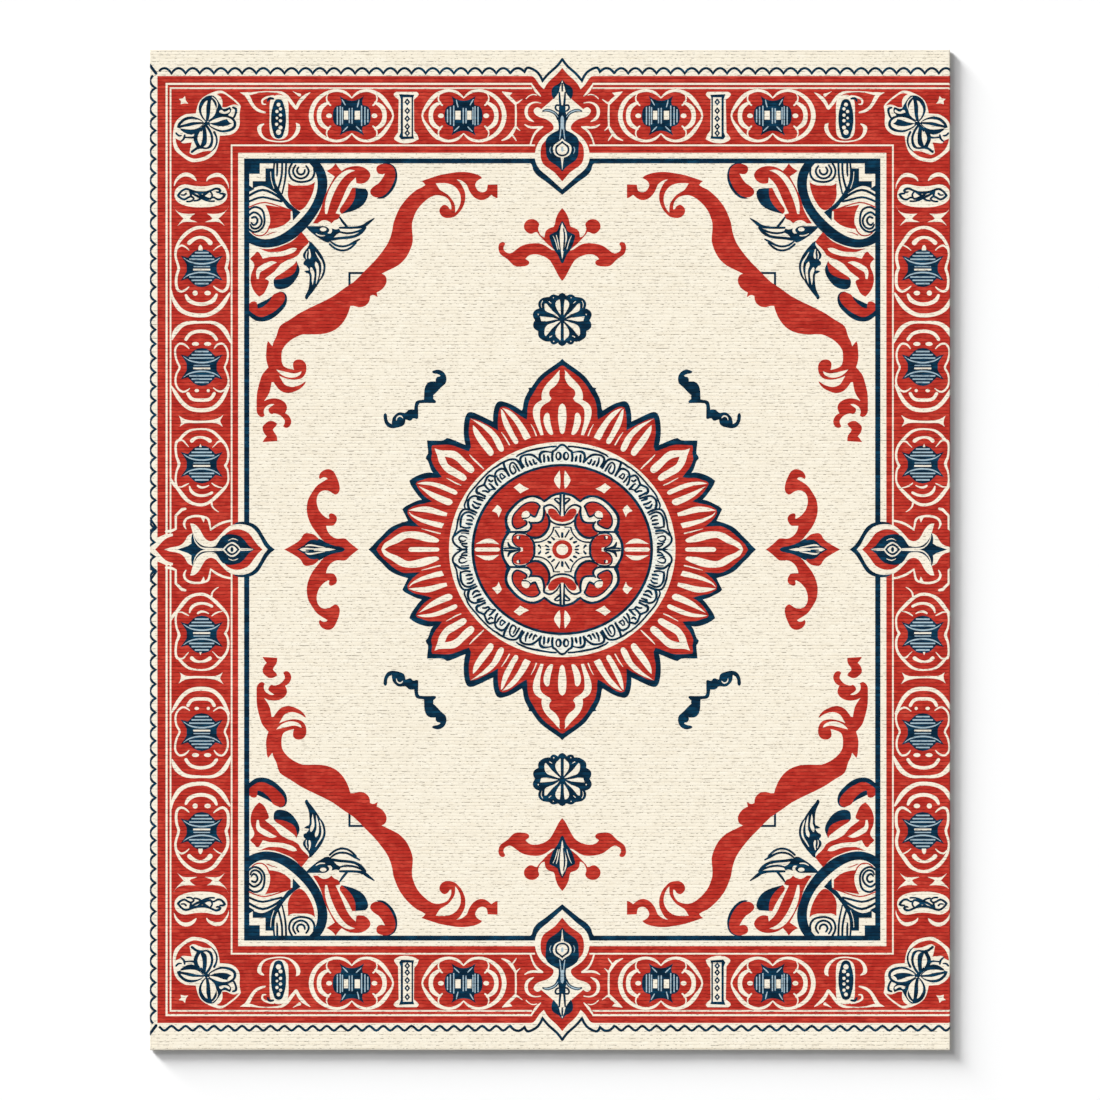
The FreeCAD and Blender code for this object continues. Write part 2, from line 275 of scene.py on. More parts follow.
# ---------------------------------------------------------------- the woven pattern
def draw_bands():
    """Cream margin, red border with its cream hairlines, cream guard, navy line and cream field."""
    lay("margin_cream", ONCE, box(-1300, -1600, 1300, 1600))
    lay("border_red", ONCE, box(-1233, -1442, 1233, 1442))
    for x, y, w in ((1205, 1418, 6), (1193, 1405, 5), (1007, 1231, 5)):
        lay("border_cream", ONCE, box(-x - w / 2, -y - w / 2, x + w / 2, y + w / 2))
        lay("border_red", ONCE, box(-x + w / 2, -y + w / 2, x - w / 2, y - w / 2))
    lay("guard_cream", ONCE, box(-987, -1208, 987, 1208))
    lay("line_navy", ONCE, box(-969, -1191, 969, 1191))
    lay("field_cream", ONCE, box(-953, -1176, 953, 1176))


def draw_scallops():
    """The margin's navy wave: 16 |sin|^0.8 high, in 43 mm bows, but 7 cos at the near end, and its spurs."""
    t = np.linspace(0, 1, 9)[:-1]
    bow = 16 * np.sin(np.pi * t) ** 0.8
    k = np.arange(25)[:, None]
    along = (158 + 43 * (k + t)).ravel()
    up = (1450 + np.tile(bow, 25)).ravel()
    width = 6.5
    for sign in SIDES:
        lay("margin_navy", ONCE, ribbon(np.stack([along, up], 1), width) * sign)
    wave = 8 - 7 * np.cos(2 * np.pi * t)
    down = -(1450 + np.tile(wave, 25)).ravel()
    for sign in SIDES:
        lay("margin_navy", ONCE, ribbon(np.stack([along, down], 1), width) * sign)
    k = np.arange(33)[:, None]
    along = (20 + 43.3 * (k + t)).ravel()
    up = (1239 + np.tile(bow, 33)).ravel()
    lay("margin_navy", FOUR, ribbon(np.stack([up, along], 1), width))
    lay("margin_navy", FOUR, stroke("1256 1475 8, 1237 1450 8"))


def ribbon(line, width):
    """A line's two sides, half of `width` away."""
    step = np.diff(line, axis=0)
    step /= np.hypot(step[:, 0], step[:, 1])[:, None]
    before = np.vstack([step[:1], step])
    after = np.vstack([step, step[-1:]])
    normal = np.stack([-before[:, 1] - after[:, 1], before[:, 0] + after[:, 0]], 1)
    aside = normal / np.maximum((normal**2).sum(1), 1.6)[:, None] * width
    return np.vstack([line + aside, (line - aside)[::-1]])


def draw_end_ogee():
    """The pointed arch in the middle of each end of the border."""
    lay("border_red", FOUR, shape("92 1424*, 74 1424*, 50 1402*, 50 1397*, 92 1397*"))
    lay("border_cream", ENDS, half(
        "0 1480*, 100 1480*, 100 1442*, 88 1440, 78 1428, 70 1416, 56 1402*, 48 1416, 36 1430, 18 1446, "
        "0 1467*", 0))
    lay("border_red", ENDS, half("0 1467*, 18 1446, 36 1430, 48 1416, 56 1402*, 56 1380*, 0 1380*", 0))
    lay("margin_navy", FOUR, stroke(
        "158 1451 7*, 146 1463 7, 133 1466 7, 115 1455 7*, 107 1467 7, 90 1463 7, 74 1452 7, 60 1428 7*, "
        "40 1451 7, 16 1472 7, 0 1493 7*"))
    lay("line_navy", ENDS, half(
        "0 1190*, 97 1190*, 97 1176*, 93 1172, 89 1157, 77 1140, 52 1122, 27 1102, 0 1080*", 0))
    lay("border_red", ENDS, box(-83, 1190, 83, 1250))
    lay("border_cream", ENDS, half(
        "0 1428*, 7 1416, 12 1400, 20 1384, 30 1370, 45 1357, 64 1341*, 76 1347, 87 1338, 82 1325, "
        "70 1317, 52 1312, 36 1302, 27 1290, 27 1280, 40 1270, 58 1257, 72 1240, 80 1222, 83 1208*, "
        "83 1190*, 78 1172, 66 1155, 45 1138, 22 1117, 0 1097*", 0))
    lay("border_navy", FOUR, shape(
        "0 1432*, 10 1418, 20 1413, 30 1404, 32 1392, 30 1380, 26 1372*, 22 1378, 18 1383, 11 1394, "
        "8 1408, 3 1421"))
    lay("border_red", ENDS, half(
        "0 1250*, 45 1250*, 52 1244, 62 1232, 66 1212, 65 1192, 58 1174, 40 1160, 22 1147, 10 1133, "
        "0 1121*", 0))
    lay("border_navy", ENDS, half(
        "0 1280*, 12 1276, 28 1268, 44 1256, 50 1243, 49 1220, 48 1202, 40 1186, 26 1176, 12 1166, 0 1152*",
        0))
    lay("border_navy", ENDS, half(
        "0 1353*, 8 1350, 9 1335, 12 1322, 14 1314, 11 1300, 10 1282, 14 1262, 0 1250*", 0))
    lay("border_navy", FOUR, *strokes("9 1392 3, 7.5 1370 5, 5 1345 6",
        "12 1312 8, 20 1327 8, 34 1335 8, 48 1338 7, 59 1335 3", "1 1420 1, 1 1408 2, 1 1396 1",
        "8 1352 4, 18 1353 4, 21 1346 4, 17 1338 4, 10 1335 3"))
    lay("border_steel", ENDS, half("0 1322*, 3.5 1318, 5 1302, 4 1286, 0 1278*", 0))
    lay("border_steel", FOUR, *strokes(
        "3.5 1290 3, 6 1262 3, 8 1250 2.5", "13 1317 1.5, 21 1328 3, 34 1335 3.5, 48 1338 3, 55 1336 1.5",
        "35 1227 1.5, 38 1217 2.5, 34 1206 1.5"))
    lay("border_cream", FOUR, stroke("3 1196 3.5, 1 1180 3, 0 1158 1"))
    lay("border_cream", ENDS, half("0 1252*, 6 1245, 18 1238, 27 1228, 28 1216, 22 1202, 10 1195, 0 1193*",
        0))
    lay("border_navy", ENDS, half("0 1244*, 8 1236, 18 1230, 21 1220, 19 1208, 10 1200, 0 1198*", 0))
    lay("border_cream", ENDS, half("0 1237*, 8 1231, 15 1224, 16 1215, 10 1205, 0 1203*", 0))
    lay("border_steel", ENDS, oval(0, 1219, 4, 8))


def draw_end_ogee_sprays():
    """Cream brackets and branches beside the end arches."""
    lay("border_cream", FOUR, *strokes(
        "93 1416 5, 88 1408 6, 80 1396 8, 66 1381 3", "110 1373 3, 100 1382 3, 88 1386 3, 78 1384 3",
        "66 1360 3, 82 1362 4, 96 1358 6, 107 1347 9, 110 1333 10, 107 1318 9, 98 1309 8, 87 1303 2",
        "114 1294 3, 104 1288 6, 88 1285 7, 72 1286 7, 60 1287 5",
        "62 1286 6, 76 1276 7, 86 1263 6, 92 1250 5, 97 1233 5",
        "142 1362 5, 141 1323 6, 142 1284 5", "143 1358 8, 152 1368 10, 168 1382 8, 182 1394 3",
        "142 1358 6, 134 1362 5, 122 1371 2", "142 1288 6, 152 1270 10, 165 1255 9, 184 1246 3",
        "152 1262 5, 143 1250 4, 140 1245 2", "142 1290 5, 136 1282 4, 129 1276 2"))
    lay("border_cream", FOUR, shape("182 1395*, 152 1391*, 160 1382*"))


def draw_side_ogee():
    """The pointed arch in the middle of each side of the border."""
    lay("border_cream", SIDES, half(
        "1262 0*, 1262 34*, 1244 34, 1228 38, 1210 46, 1186 48*, 1186 40*, 1204 34, 1218 22, 1234 4, "
        "1240 0*", 1))
    lay("border_red", SIDES, half("1240 0*, 1234 6, 1218 24, 1204 35, 1186 41*, 1100 41*, 1100 0*", 1))
    lay("margin_navy", FOUR, stroke("1256 95 6, 1237 68 6*, 1257 57 6*, 1257 38 6, 1242 22 6*, 1262 8 6*"))
    lay("line_navy", SIDES, half(
        "875 0*, 888 10, 900 25, 912 45, 925 66, 942 79, 962 84, 985 84, 1000 78*, 1000 0*", 1))
    lay("border_cream", SIDES, half(
        "897 0*, 908 13, 918 32, 930 52, 946 68, 968 76, 990 77, 1012 72, 1030 58, 1046 41, 1056 30, "
        "1070 25, 1084 30, 1094 43, 1102 58, 1112 71, 1122 78, 1133 79*, 1129 64, 1125 50*, 1140 42, "
        "1148 28, 1158 16, 1175 9, 1194 6, 1212 0*", 1))
    lay("border_red", SIDES, half(
        "913 0*, 926 12, 940 30, 953 48, 970 58, 990 62, 1010 58, 1026 47*, 1026 0*", 1))
    lay("border_navy", SIDES, half(
        "938 0*, 955 11, 968 28, 982 40, 1000 45, 1018 46, 1034 40, 1046 24, 1056 10, 1070 7, 1090 9, "
        "1104 16, 1114 26, 1121 38, 1125 50*, 1129 34, 1128 18*, 1140 10, 1155 5, 1172 0*", 1))
    lay("border_cream", SIDES, half("978 0*, 985 10, 995 19, 1005 23, 1016 19, 1028 8, 1035 0*", 1))
    lay("border_navy", SIDES, half("984 0*, 991 9, 1000 15, 1007 17, 1016 13, 1024 5, 1028 0*", 1))
    lay("border_cream", SIDES, half("990 0*, 996 7, 1004 11, 1012 9, 1018 4, 1021 0*", 1))
    lay("border_navy", SIDES, oval(1006, 0, 4, 7))
    lay("border_cream", FOUR, *strokes(
        "1016 28 1.5, 1003 33 3, 988 28 1.5", "978 2 3, 960 2 3, 942 1 1",
        "1035 2 3, 1070 2 6, 1100 6 4, 1118 25 3, 1123 44 1.5",
        "1206 55 8*, 1190 57 8, 1177 63 6*, 1177 103 7*, 1158 122 9*, 1148 124 7",
        "1146 63 3, 1152 78 7, 1146 92 7, 1130 100 7, 1108 102 7, 1090 99 6",
        "1086 98 6, 1078 92 7, 1074 78 6, 1071 62 4*", "1071 60 5*, 1056 71 7, 1034 82 7, 1007 88 6"))
    lay("border_cream", FOUR, shape("1102 100*, 1086 101*, 1092 82*"))


def draw_corner_flower():
    """The open flower in each corner of the border."""
    lay("border_cream", FOUR, shape(
        "979 1350*, 984 1358, 1000 1373, 1020 1388, 1035 1397, 1050 1397, 1070 1390, 1088 1381, 1103 1368, "
        "1111 1350, 1116 1328*, 1130 1327, 1145 1326, 1160 1319, 1172 1309, 1180 1296, 1184 1278, "
        "1186 1255, 1185 1235, 1178 1215, 1163 1202, 1145 1188, 1128 1180, 1110 1181, 1090 1185, "
        "1068 1197, 1055 1212, 1048 1230, 1043 1260*, 1025 1261, 1008 1264, 995 1272, 985 1285, 982 1300, "
        "983 1320, 981 1340"))
    lay("border_red", FOUR, *shapes(
        "1040 1390, 1030 1388, 1015 1378, 1000 1367, 990 1357, 985 1352*, 1000 1355, 1012 1352, 1022 1347, "
        "1036 1347*, 1036 1370, 1040 1378, 1053 1387*", "1178 1252*, 1176 1240, 1170 1225, 1158 1210, "
        "1140 1197, 1122 1190, 1105 1192, 1088 1197, 1075 1205, 1064 1214*, 1095 1212, 1108 1207, "
        "1125 1202, 1135 1208*, 1132 1225, 1128 1240*, 1145 1238, 1158 1238, 1163 1245*"))
    lay("border_navy", FOUR, *shapes(
        "1084 1302*, 1096 1314, 1105 1332, 1106 1350, 1098 1368, 1082 1380, 1062 1381, 1050 1368, "
        "1040 1352*, 1037 1345*, 1060 1330, 1078 1308", "1080 1305*, 1060 1330, 1048 1350, 1038 1347*, "
        "1034 1342, 1022 1343, 1012 1347*, 1009 1338, 1012 1330, 1018 1324, 1002 1316*, 1030 1312*",
        "1080 1300*, 1065 1312, 1045 1320, 1025 1321, 1008 1318, 997 1308, 993 1297, 996 1285, 1005 1277, "
        "1022 1272, 1042 1272, 1060 1280, 1075 1290", "1090 1298*, 1100 1308, 1115 1315, 1130 1318, "
        "1148 1315, 1160 1307, 1170 1295, 1173 1286*, 1150 1279, 1130 1278, 1112 1280, 1100 1288",
        "1088 1296*, 1100 1285, 1110 1268, 1113 1250, 1110 1235, 1105 1225, 1098 1222, 1085 1220, "
        "1070 1225, 1064 1240, 1064 1258, 1070 1275, 1080 1290"))
    lay("border_navy", FOUR, *strokes(
        "1003 1346 4, 994 1342 6, 994 1330 5, 1000 1316 5", "1160 1279 4, 1130 1272 16, 1105 1280 10",
        "1152 1256 4, 1135 1254 3, 1120 1256 6, 1112 1268 8", "1161 1243 3, 1152 1252 5, 1150 1262 4",
        "1117 1262 8, 1118 1248 8, 1112 1232 6, 1108 1222 5", "1176 1268 4, 1168 1261 4, 1160 1261 2",
        "1060 1271 6, 1053 1255 4, 1052 1240 4, 1058 1224 3, 1068 1213 1"))
    lay("border_cream", FOUR, *shapes(
        "1086 1307*, 1097 1325, 1099 1342, 1092 1357, 1082 1367, 1080 1367*, 1084 1350, 1084 1325",
        "1077 1308*, 1060 1322, 1054 1340, 1060 1358, 1068 1370, 1071 1350, 1073 1325", "1045 1331*, "
        "1042 1338, 1036 1338, 1030 1333, 1020 1336, 1014 1340, 1012 1335, 1022 1328, 1035 1328",
        "1074 1302*, 1055 1312, 1035 1317, 1015 1314, 1002 1303, 1002 1290, 1015 1281, 1035 1277, "
        "1055 1282, 1072 1291*", "1094 1302*, 1110 1309, 1130 1311, 1148 1306, 1160 1296, 1163 1292*, "
        "1145 1297, 1125 1302, 1108 1302",
        "1095 1296*, 1115 1294, 1140 1288, 1160 1285, 1164 1283*, 1145 1280, 1120 1280, 1105 1286",
        "1096 1282*, 1105 1270, 1111 1252, 1107 1238, 1102 1230*, 1097 1245, 1095 1262", "1086 1287*, "
        "1076 1272, 1070 1252, 1073 1236, 1082 1225, 1093 1226*, 1084 1234, 1082 1250, 1083 1270",
        "1149 1381*, 1146 1367*, 1139 1358*, 1150 1359*, 1162 1356*, 1161 1366*, 1168 1372*, 1156 1374*"))
    lay("border_navy", FOUR, shape(
        "1076 1298*, 1050 1301, 1032 1308, 1021 1310*, 1016 1302, 1008 1297*, 1020 1292, 1045 1290"))
    lay("border_navy", FOUR, stroke("1096 1223 4, 1110 1223 6, 1119 1218 6, 1128 1211 6"))
    lay("border_cream", FOUR, *strokes("1066 1378 2, 1055 1368 3, 1050 1355 3, 1054 1340 1"))
    lay("border_navy", FOUR, oval(1084, 1297, 6, 6), *strokes("1084 1297 5, 1092 1287 4, 1100 1274 2"))


def draw_cartouches():
    """Upright cream tablets of the end borders. Their small marks are plain dots and lozenges."""
    lay("border_cream", FOUR, *strokes(
        "972 1391 3, 958 1380 12, 948 1362 10, 936 1345 9, 920 1335 8, 905 1331 5",
        "950 1388 8, 925 1393 4, 880 1394 4, 855 1391 8, 838 1379 10, 824 1360 10, 811 1344 9",
        "810 1344 9, 802 1360 10, 790 1375 11, 768 1392 2", "800 1384 10, 808 1388 5, 820 1395 1",
        "880 1381 6, 900 1377 6, 914 1367 6, 912 1357 5, 903 1356 3",
        "909 1296 3, 922 1286 12, 920 1268 10, 907 1252 6, 882 1244 4, 859 1242 4, 834 1246 5, 816 1259 9, "
        "805 1278 12, 805 1293 10, 810 1298 3"))
    lay("border_cream", FOUR, shape("982 1392*, 950 1393*, 955 1375*"), shape(
        "862 1385, 878 1381, 888 1370, 891 1355, 891 1320, 891 1278, 887 1262, 877 1252, 862 1249, "
        "847 1252, 837 1262, 834 1278, 834 1320, 834 1355, 837 1370, 847 1381"))
    lay("border_navy", FOUR, shape(
        "864 1371, 854 1367, 849 1355, 849 1268, 854 1256, 864 1252, 874 1256, 879 1268, 879 1355, "
        "874 1367"))
    lay("border_navy", FOUR, stroke("897 1366 4, 893 1373 6, 880 1373 4"))
    for x, y, r in ((864, 1355, 6), (858, 1342, 5), (869, 1334, 5), (858, 1323, 5), (869, 1314, 4),
            (858, 1306, 5), (870, 1295, 5), (858, 1285, 6), (864, 1271, 8)):
        lay("border_cream", FOUR, oval(x, y, r, r))
    lay("border_cream", FOUR, shape(
        "513 1388, 505 1394*, 443 1394*, 437 1386, 443 1378, 452 1370*, 451 1275*, 441 1262, 437 1250*, "
        "445 1245, 505 1244, 512 1250, 508 1260*, 500 1270*, 498 1370*"))
    lay("border_navy", FOUR, shape(
        "496 1386*, 452 1384*, 455 1375*, 455 1262*, 452 1252*, 490 1250*, 496 1258*, 491 1270*, "
        "491 1372*"))
    lay("border_cream", FOUR, box(459, 1258, 485, 1377))
    for y in (1363, 1336, 1312, 1288, 1268):
        lay("border_navy", FOUR, np.array([[472, y + 10], [480, y], [472, y - 10], [464, y]], float))
        lay("border_cream", FOUR, oval(472, y, 2.5, 3.5))


def striped_body(upright):
    """The four-horned body inside a roundel, 114 x 110, its pale stripes and its cream blocks."""
    if upright:
        quarter = written("57 0, 55 12, 49 24, 38 35, 31 42*, 38 64*, 19 50, 9 45, 0 45")
        rows = ((47, 21), (37, 31), (27, 38))
        stripes = [box(u * s - 2.2, -reach, u * s + 2.2, reach) for u, reach in rows for s in (1, -1)]
        for s in (1, -1):
            stripes.append(stroke("%g 55 1.5, %g 38 3.5, %g 20 4.5, %g -20 4.5, %g -38 3.5, %g -55 1.5"
                                  % (31 * s, 20 * s, 15 * s, 15 * s, 20 * s, 31 * s)))
        stripes.append(box(3, -25, 6, 25))
        blocks = [box(-7, -26, -2, 26)]
    else:
        quarter = written("57 0, 56 13, 51 25, 33 32*, 31 44, 37 60*, 22 50, 10 46, 0 45")
        rows = ((44, 27), (35, 29), (28.5, 26), (7.5, 23), (-1, 24), (-30, 31), (-40, 27), (-49, 20))
        stripes = [box(u - 1.8, -reach, u + 1.8, reach) for u, reach in rows]
        stripes += strokes("30 50 2, 25 42 4, 20 33 3", "-22 48 2, -20 38 4, -17 27 3",
            "13 -34 3, 19 -40 4, 27 -48 2", "-14 -33 3, -20 -39 4, -29 -47 2")
        blocks = [box(11, -12, 24, 15), box(-25, -12, -9, 15)]
    part = smooth(quarter[0], quarter[1], False)[:, :2]
    body = np.vstack([part, (part * (-1, 1))[::-1][1:], (part * (-1, -1))[1:], (part * (1, -1))[::-1][1:-1]])
    return [body], stripes, blocks


def turned(outlines):
    """Outlines turned a quarter: u along y, v along x."""
    return [outline[:, ::-1] for outline in outlines]


def draw_end_roundels():
    """The pair of quatrefoil roundels between the tablets, each the other's mirror."""
    body, stripes, blocks = striped_body(False)
    thick = strokes(
        "0 54 3*, 18 70 8, 45 77 8, 80 68 10, 112 40 13, 124 0 14, 112 -40 13, 80 -68 10, 45 -77 8, "
        "18 -70 8, 0 -54 3*")
    thin = strokes(
        "0 54 3*, -18 70 8, -45 77 8, -80 66 12, -108 36 12, -126 0 5, -108 -36 11, -80 -66 12, -45 -77 8, "
        "-18 -70 8, 0 -54 3*")
    inner = []
    for s in (1, -1):
        inner.append(stroke("%g 40 8, %g 22 14, %g 0 13, %g -22 14, %g -40 8" % (72 * s, 95 * s, 100 * s,
            95 * s, 72 * s)))
        inner.append(oval(69 * s, 0, 9, 7))
        for v in (1, -1):
            inner.append(stroke("%g %g 2, %g %g 4, %g %g 5, %g %g 5" % (70 * s, 70 * v, 77 * s, 55 * v,
                73 * s, 40 * v, 65 * s, 32 * v)))
    for x, y, flip in ((300.5, 1321, (-1, 1)), (641, 1321, (1, 1))):
        lay("border_cream", FOUR, *moved(thick + thin + inner, x, y, flip))
        lay("border_navy", FOUR, *moved(body, x, y, flip))
        lay("border_steel", FOUR, *moved(stripes, x, y, flip))
        lay("border_cream", FOUR, *moved(blocks, x, y, flip))


def draw_side_roundels():
    """The three roundels down each side of the border, with the bone and the scrolled capsule between."""
    body, stripes, blocks = striped_body(True)
    for y in (857, 556, 259):
        lay("border_navy", FOUR, *moved(turned(body), 1098, y))
        lay("border_steel", FOUR, *moved(turned(stripes), 1098, y))
        lay("border_cream", FOUR, *moved(turned(blocks), 1098, y))
    lay("border_cream", FOUR, *strokes(
        "1137 800 3, 1147 791 6, 1160 786 7, 1170 790 8, 1175 803 8, 1176 820 8, 1173 840 8, 1168 855 8, "
        "1173 875 7, 1178 895 7, 1176 915 8, 1165 940 9, 1150 958 11, 1130 973 10, 1112 980 10, "
        "1100 981 9, 1080 977 9, 1060 965 11, 1045 945 12, 1030 925 10, 1020 905 9, 1018 885 9, "
        "1022 865 9, 1024 857 9, 1019 845 9, 1017 825 9, 1018 805 9, 1024 792 9, 1035 786 8, 1048 791 7, "
        "1062 802 3", "1190 790 2, 1187 768 8, 1178 750 12, 1165 732 13, 1145 720 12, 1120 714 12, "
        "1100 713 12, 1080 715 12, 1060 724 13, 1040 740 14, 1025 760 12, 1013 780 6",
        "1136 934 13, 1122 945 11, 1103 951 8, 1085 946 11, 1072 934 15",
        "1146 774 8, 1138 760 12, 1120 750 11, 1100 747 11, 1080 750 11, 1062 760 13, 1053 776 8",
        "1172 915 2, 1160 926 6, 1150 923 5, 1137 912 3", "1062 911 2, 1050 921 4, 1035 928 4"))
    lay("border_cream", FOUR, shape("1108 911*, 1107 923, 1102 928, 1097 923, 1095 911*"),
        oval(1118, 781, 8, 8), oval(1080, 781, 10, 7))
    lay("border_cream", FOUR, *strokes(
        "1188 640 4, 1180 660 14, 1155 685 12, 1120 692 9, 1100 692 7, 1060 690 10, 1035 675 14, "
        "1018 650 12, 1010 630 4", "1192 500 3, 1180 480 10, 1160 450 12, 1135 430 12, 1100 424 12, "
        "1065 430 12, 1040 452 12, 1022 485 9, 1015 500 6",
        "1146 640 10, 1135 655 10, 1100 665 10, 1065 655 10, 1053 640 10",
        "1140 475 10, 1130 460 10, 1100 455 10, 1070 460 10, 1060 475 10", "1137 612 3, 1150 624 6, "
        "1165 627 6, 1177 615 6, 1178 590 6, 1172 570 6, 1165 556 6, 1175 535 6, 1178 510 6, 1170 490 6, "
        "1155 480 6, 1135 490 3", "1060 612 3, 1050 624 6, 1035 627 6, 1022 612 6, 1018 590 6, 1022 570 6, "
        "1028 556 6, 1020 535 6, 1017 505 6, 1028 487 6, 1040 481 6, 1062 492 3"))
    lay("border_cream", FOUR, oval(1117, 626, 11, 6), oval(1080, 626, 11, 6), oval(1113, 484, 7, 5), oval(
        1078, 484, 5, 5))
    lay("border_cream", FOUR, *strokes(
        "1138 313 2, 1146 322 4, 1154 331 5, 1165 333 6, 1173 330 8, 1177 318 7, 1177 300 7, 1174 280 7, "
        "1167 262 9, 1168 255 8, 1174 240 6, 1177 222 6, 1177 205 6, 1174 195 5", "1165 335 8, 1152 350 9, "
        "1135 362 7, 1115 366 5, 1085 366 6, 1066 360 8, 1050 347 9, 1036 332 9, 1025 318 8, 1018 300 7, "
        "1017 280 7, 1022 262 7, 1026 256 8, 1020 245 6, 1017 225 6, 1018 205 6, 1026 190 8, 1040 175 10, "
        "1055 160 11, 1072 146 9, 1090 137 9, 1105 136 9, 1125 140 9, 1142 150 11, 1158 168 12, "
        "1172 187 10, 1186 203 9, 1192 215 5", "1065 311 2, 1056 320 3, 1050 327 5, 1040 330 5, 1030 326 4",
        "1138 201 3, 1148 196 5, 1158 191 4, 1170 191 2", "1067 202 3, 1056 194 5, 1046 190 4, 1036 188 3",
        "1128 331 12, 1118 339 9, 1103 342 7, 1087 339 9, 1073 331 12",
        "1135 192 4, 1130 178 9, 1118 168 9, 1100 164 8, 1082 166 8, 1067 173 8",
        "1110 194 6, 1100 189 7, 1088 190 5, 1077 195 3", "1068 142 6, 1066 132 5, 1058 122 4, 1047 115 2"))
    lay("border_cream", FOUR, shape("1106 312*, 1102 322*, 1098 312*"), shape(
        "1168 408*, 1150 397, 1130 393, 1100 392, 1070 394, 1050 399, 1032 410*, 1038 400, 1042 392, "
        "1040 386, 1034 374*, 1044 381, 1055 385, 1080 386, 1120 385, 1145 385, 1155 381, 1165 374*, "
        "1161 385, 1162 393, 1164 400"))


def draw_side_capsule():
    """The cream capsule with its run of navy scrolls, high on each side of the border."""
    lay("border_cream", FOUR, *strokes(
        "1182 1108 2, 1178 1120 6, 1168 1133 9, 1155 1141 11, 1142 1142 12, 1130 1138 11, 1120 1130 8, "
        "1115 1124 3", "1016 1100 1, 1018 1112 4, 1023 1122 6, 1031 1133 8, 1042 1140 11, 1054 1141 12, "
        "1068 1137 10, 1080 1129 6, 1083 1123 3"))
    bracket = shape(
        "1184 1048*, 1178 1035, 1168 1027, 1152 1023, 1138 1022, 1118 1023*, 1128 1016, 1135 1008*, "
        "1130 1004, 1120 1001, 1112 997*, 1135 998, 1155 997, 1172 985*, 1158 1003, 1153 1008*, 1160 1014, "
        "1172 1026, 1180 1038")
    lay("border_cream", FOUR, bracket, *moved([bracket], 2200, 0, (-1, 1)), shape(
        "1181 1080, 1178 1095, 1168 1106, 1150 1112, 1135 1110, 1118 1107, 1100 1106, 1080 1107, 1062 1111, "
        "1045 1112, 1032 1107, 1024 1095, 1020 1080, 1023 1066, 1035 1054, 1052 1047, 1075 1043, 1100 1042, "
        "1125 1043, 1150 1048, 1168 1056, 1178 1067"))
    lay("border_navy", FOUR, *strokes(
        "1170 1078 6, 1160 1091 5, 1147 1098 5, 1134 1095 5, 1118 1089 6, 1100 1087 6, 1082 1088 6, "
        "1068 1094 5, 1056 1099 5, 1045 1097 6, 1041 1092 5, 1047 1088 5, 1053 1089 3",
        "1170 1078 6, 1160 1069 5, 1151 1066 5, 1140 1072 5, 1131 1077 5, 1132 1086 6, 1134 1094 5",
        "1160 1080 3, 1150 1080 4, 1146 1084 5", "1131 1076 5, 1122 1068 4, 1130 1061 4, 1143 1060 4",
        "1132 1088 5, 1115 1078 6, 1100 1072 7, 1085 1064 5, 1075 1061 4, 1060 1061 4",
        "1120 1062 4, 1105 1066 5, 1098 1074 8, 1088 1082 6, 1075 1091 5",
        "1108 1085 5, 1095 1076 6, 1082 1070 5, 1072 1068 5, 1066 1080 4, 1072 1090 4", "1068 1072 5, "
        "1060 1072 4, 1050 1066 5, 1040 1067 5, 1032 1074 6, 1028 1081 6, 1035 1084 5, 1042 1084 4"))


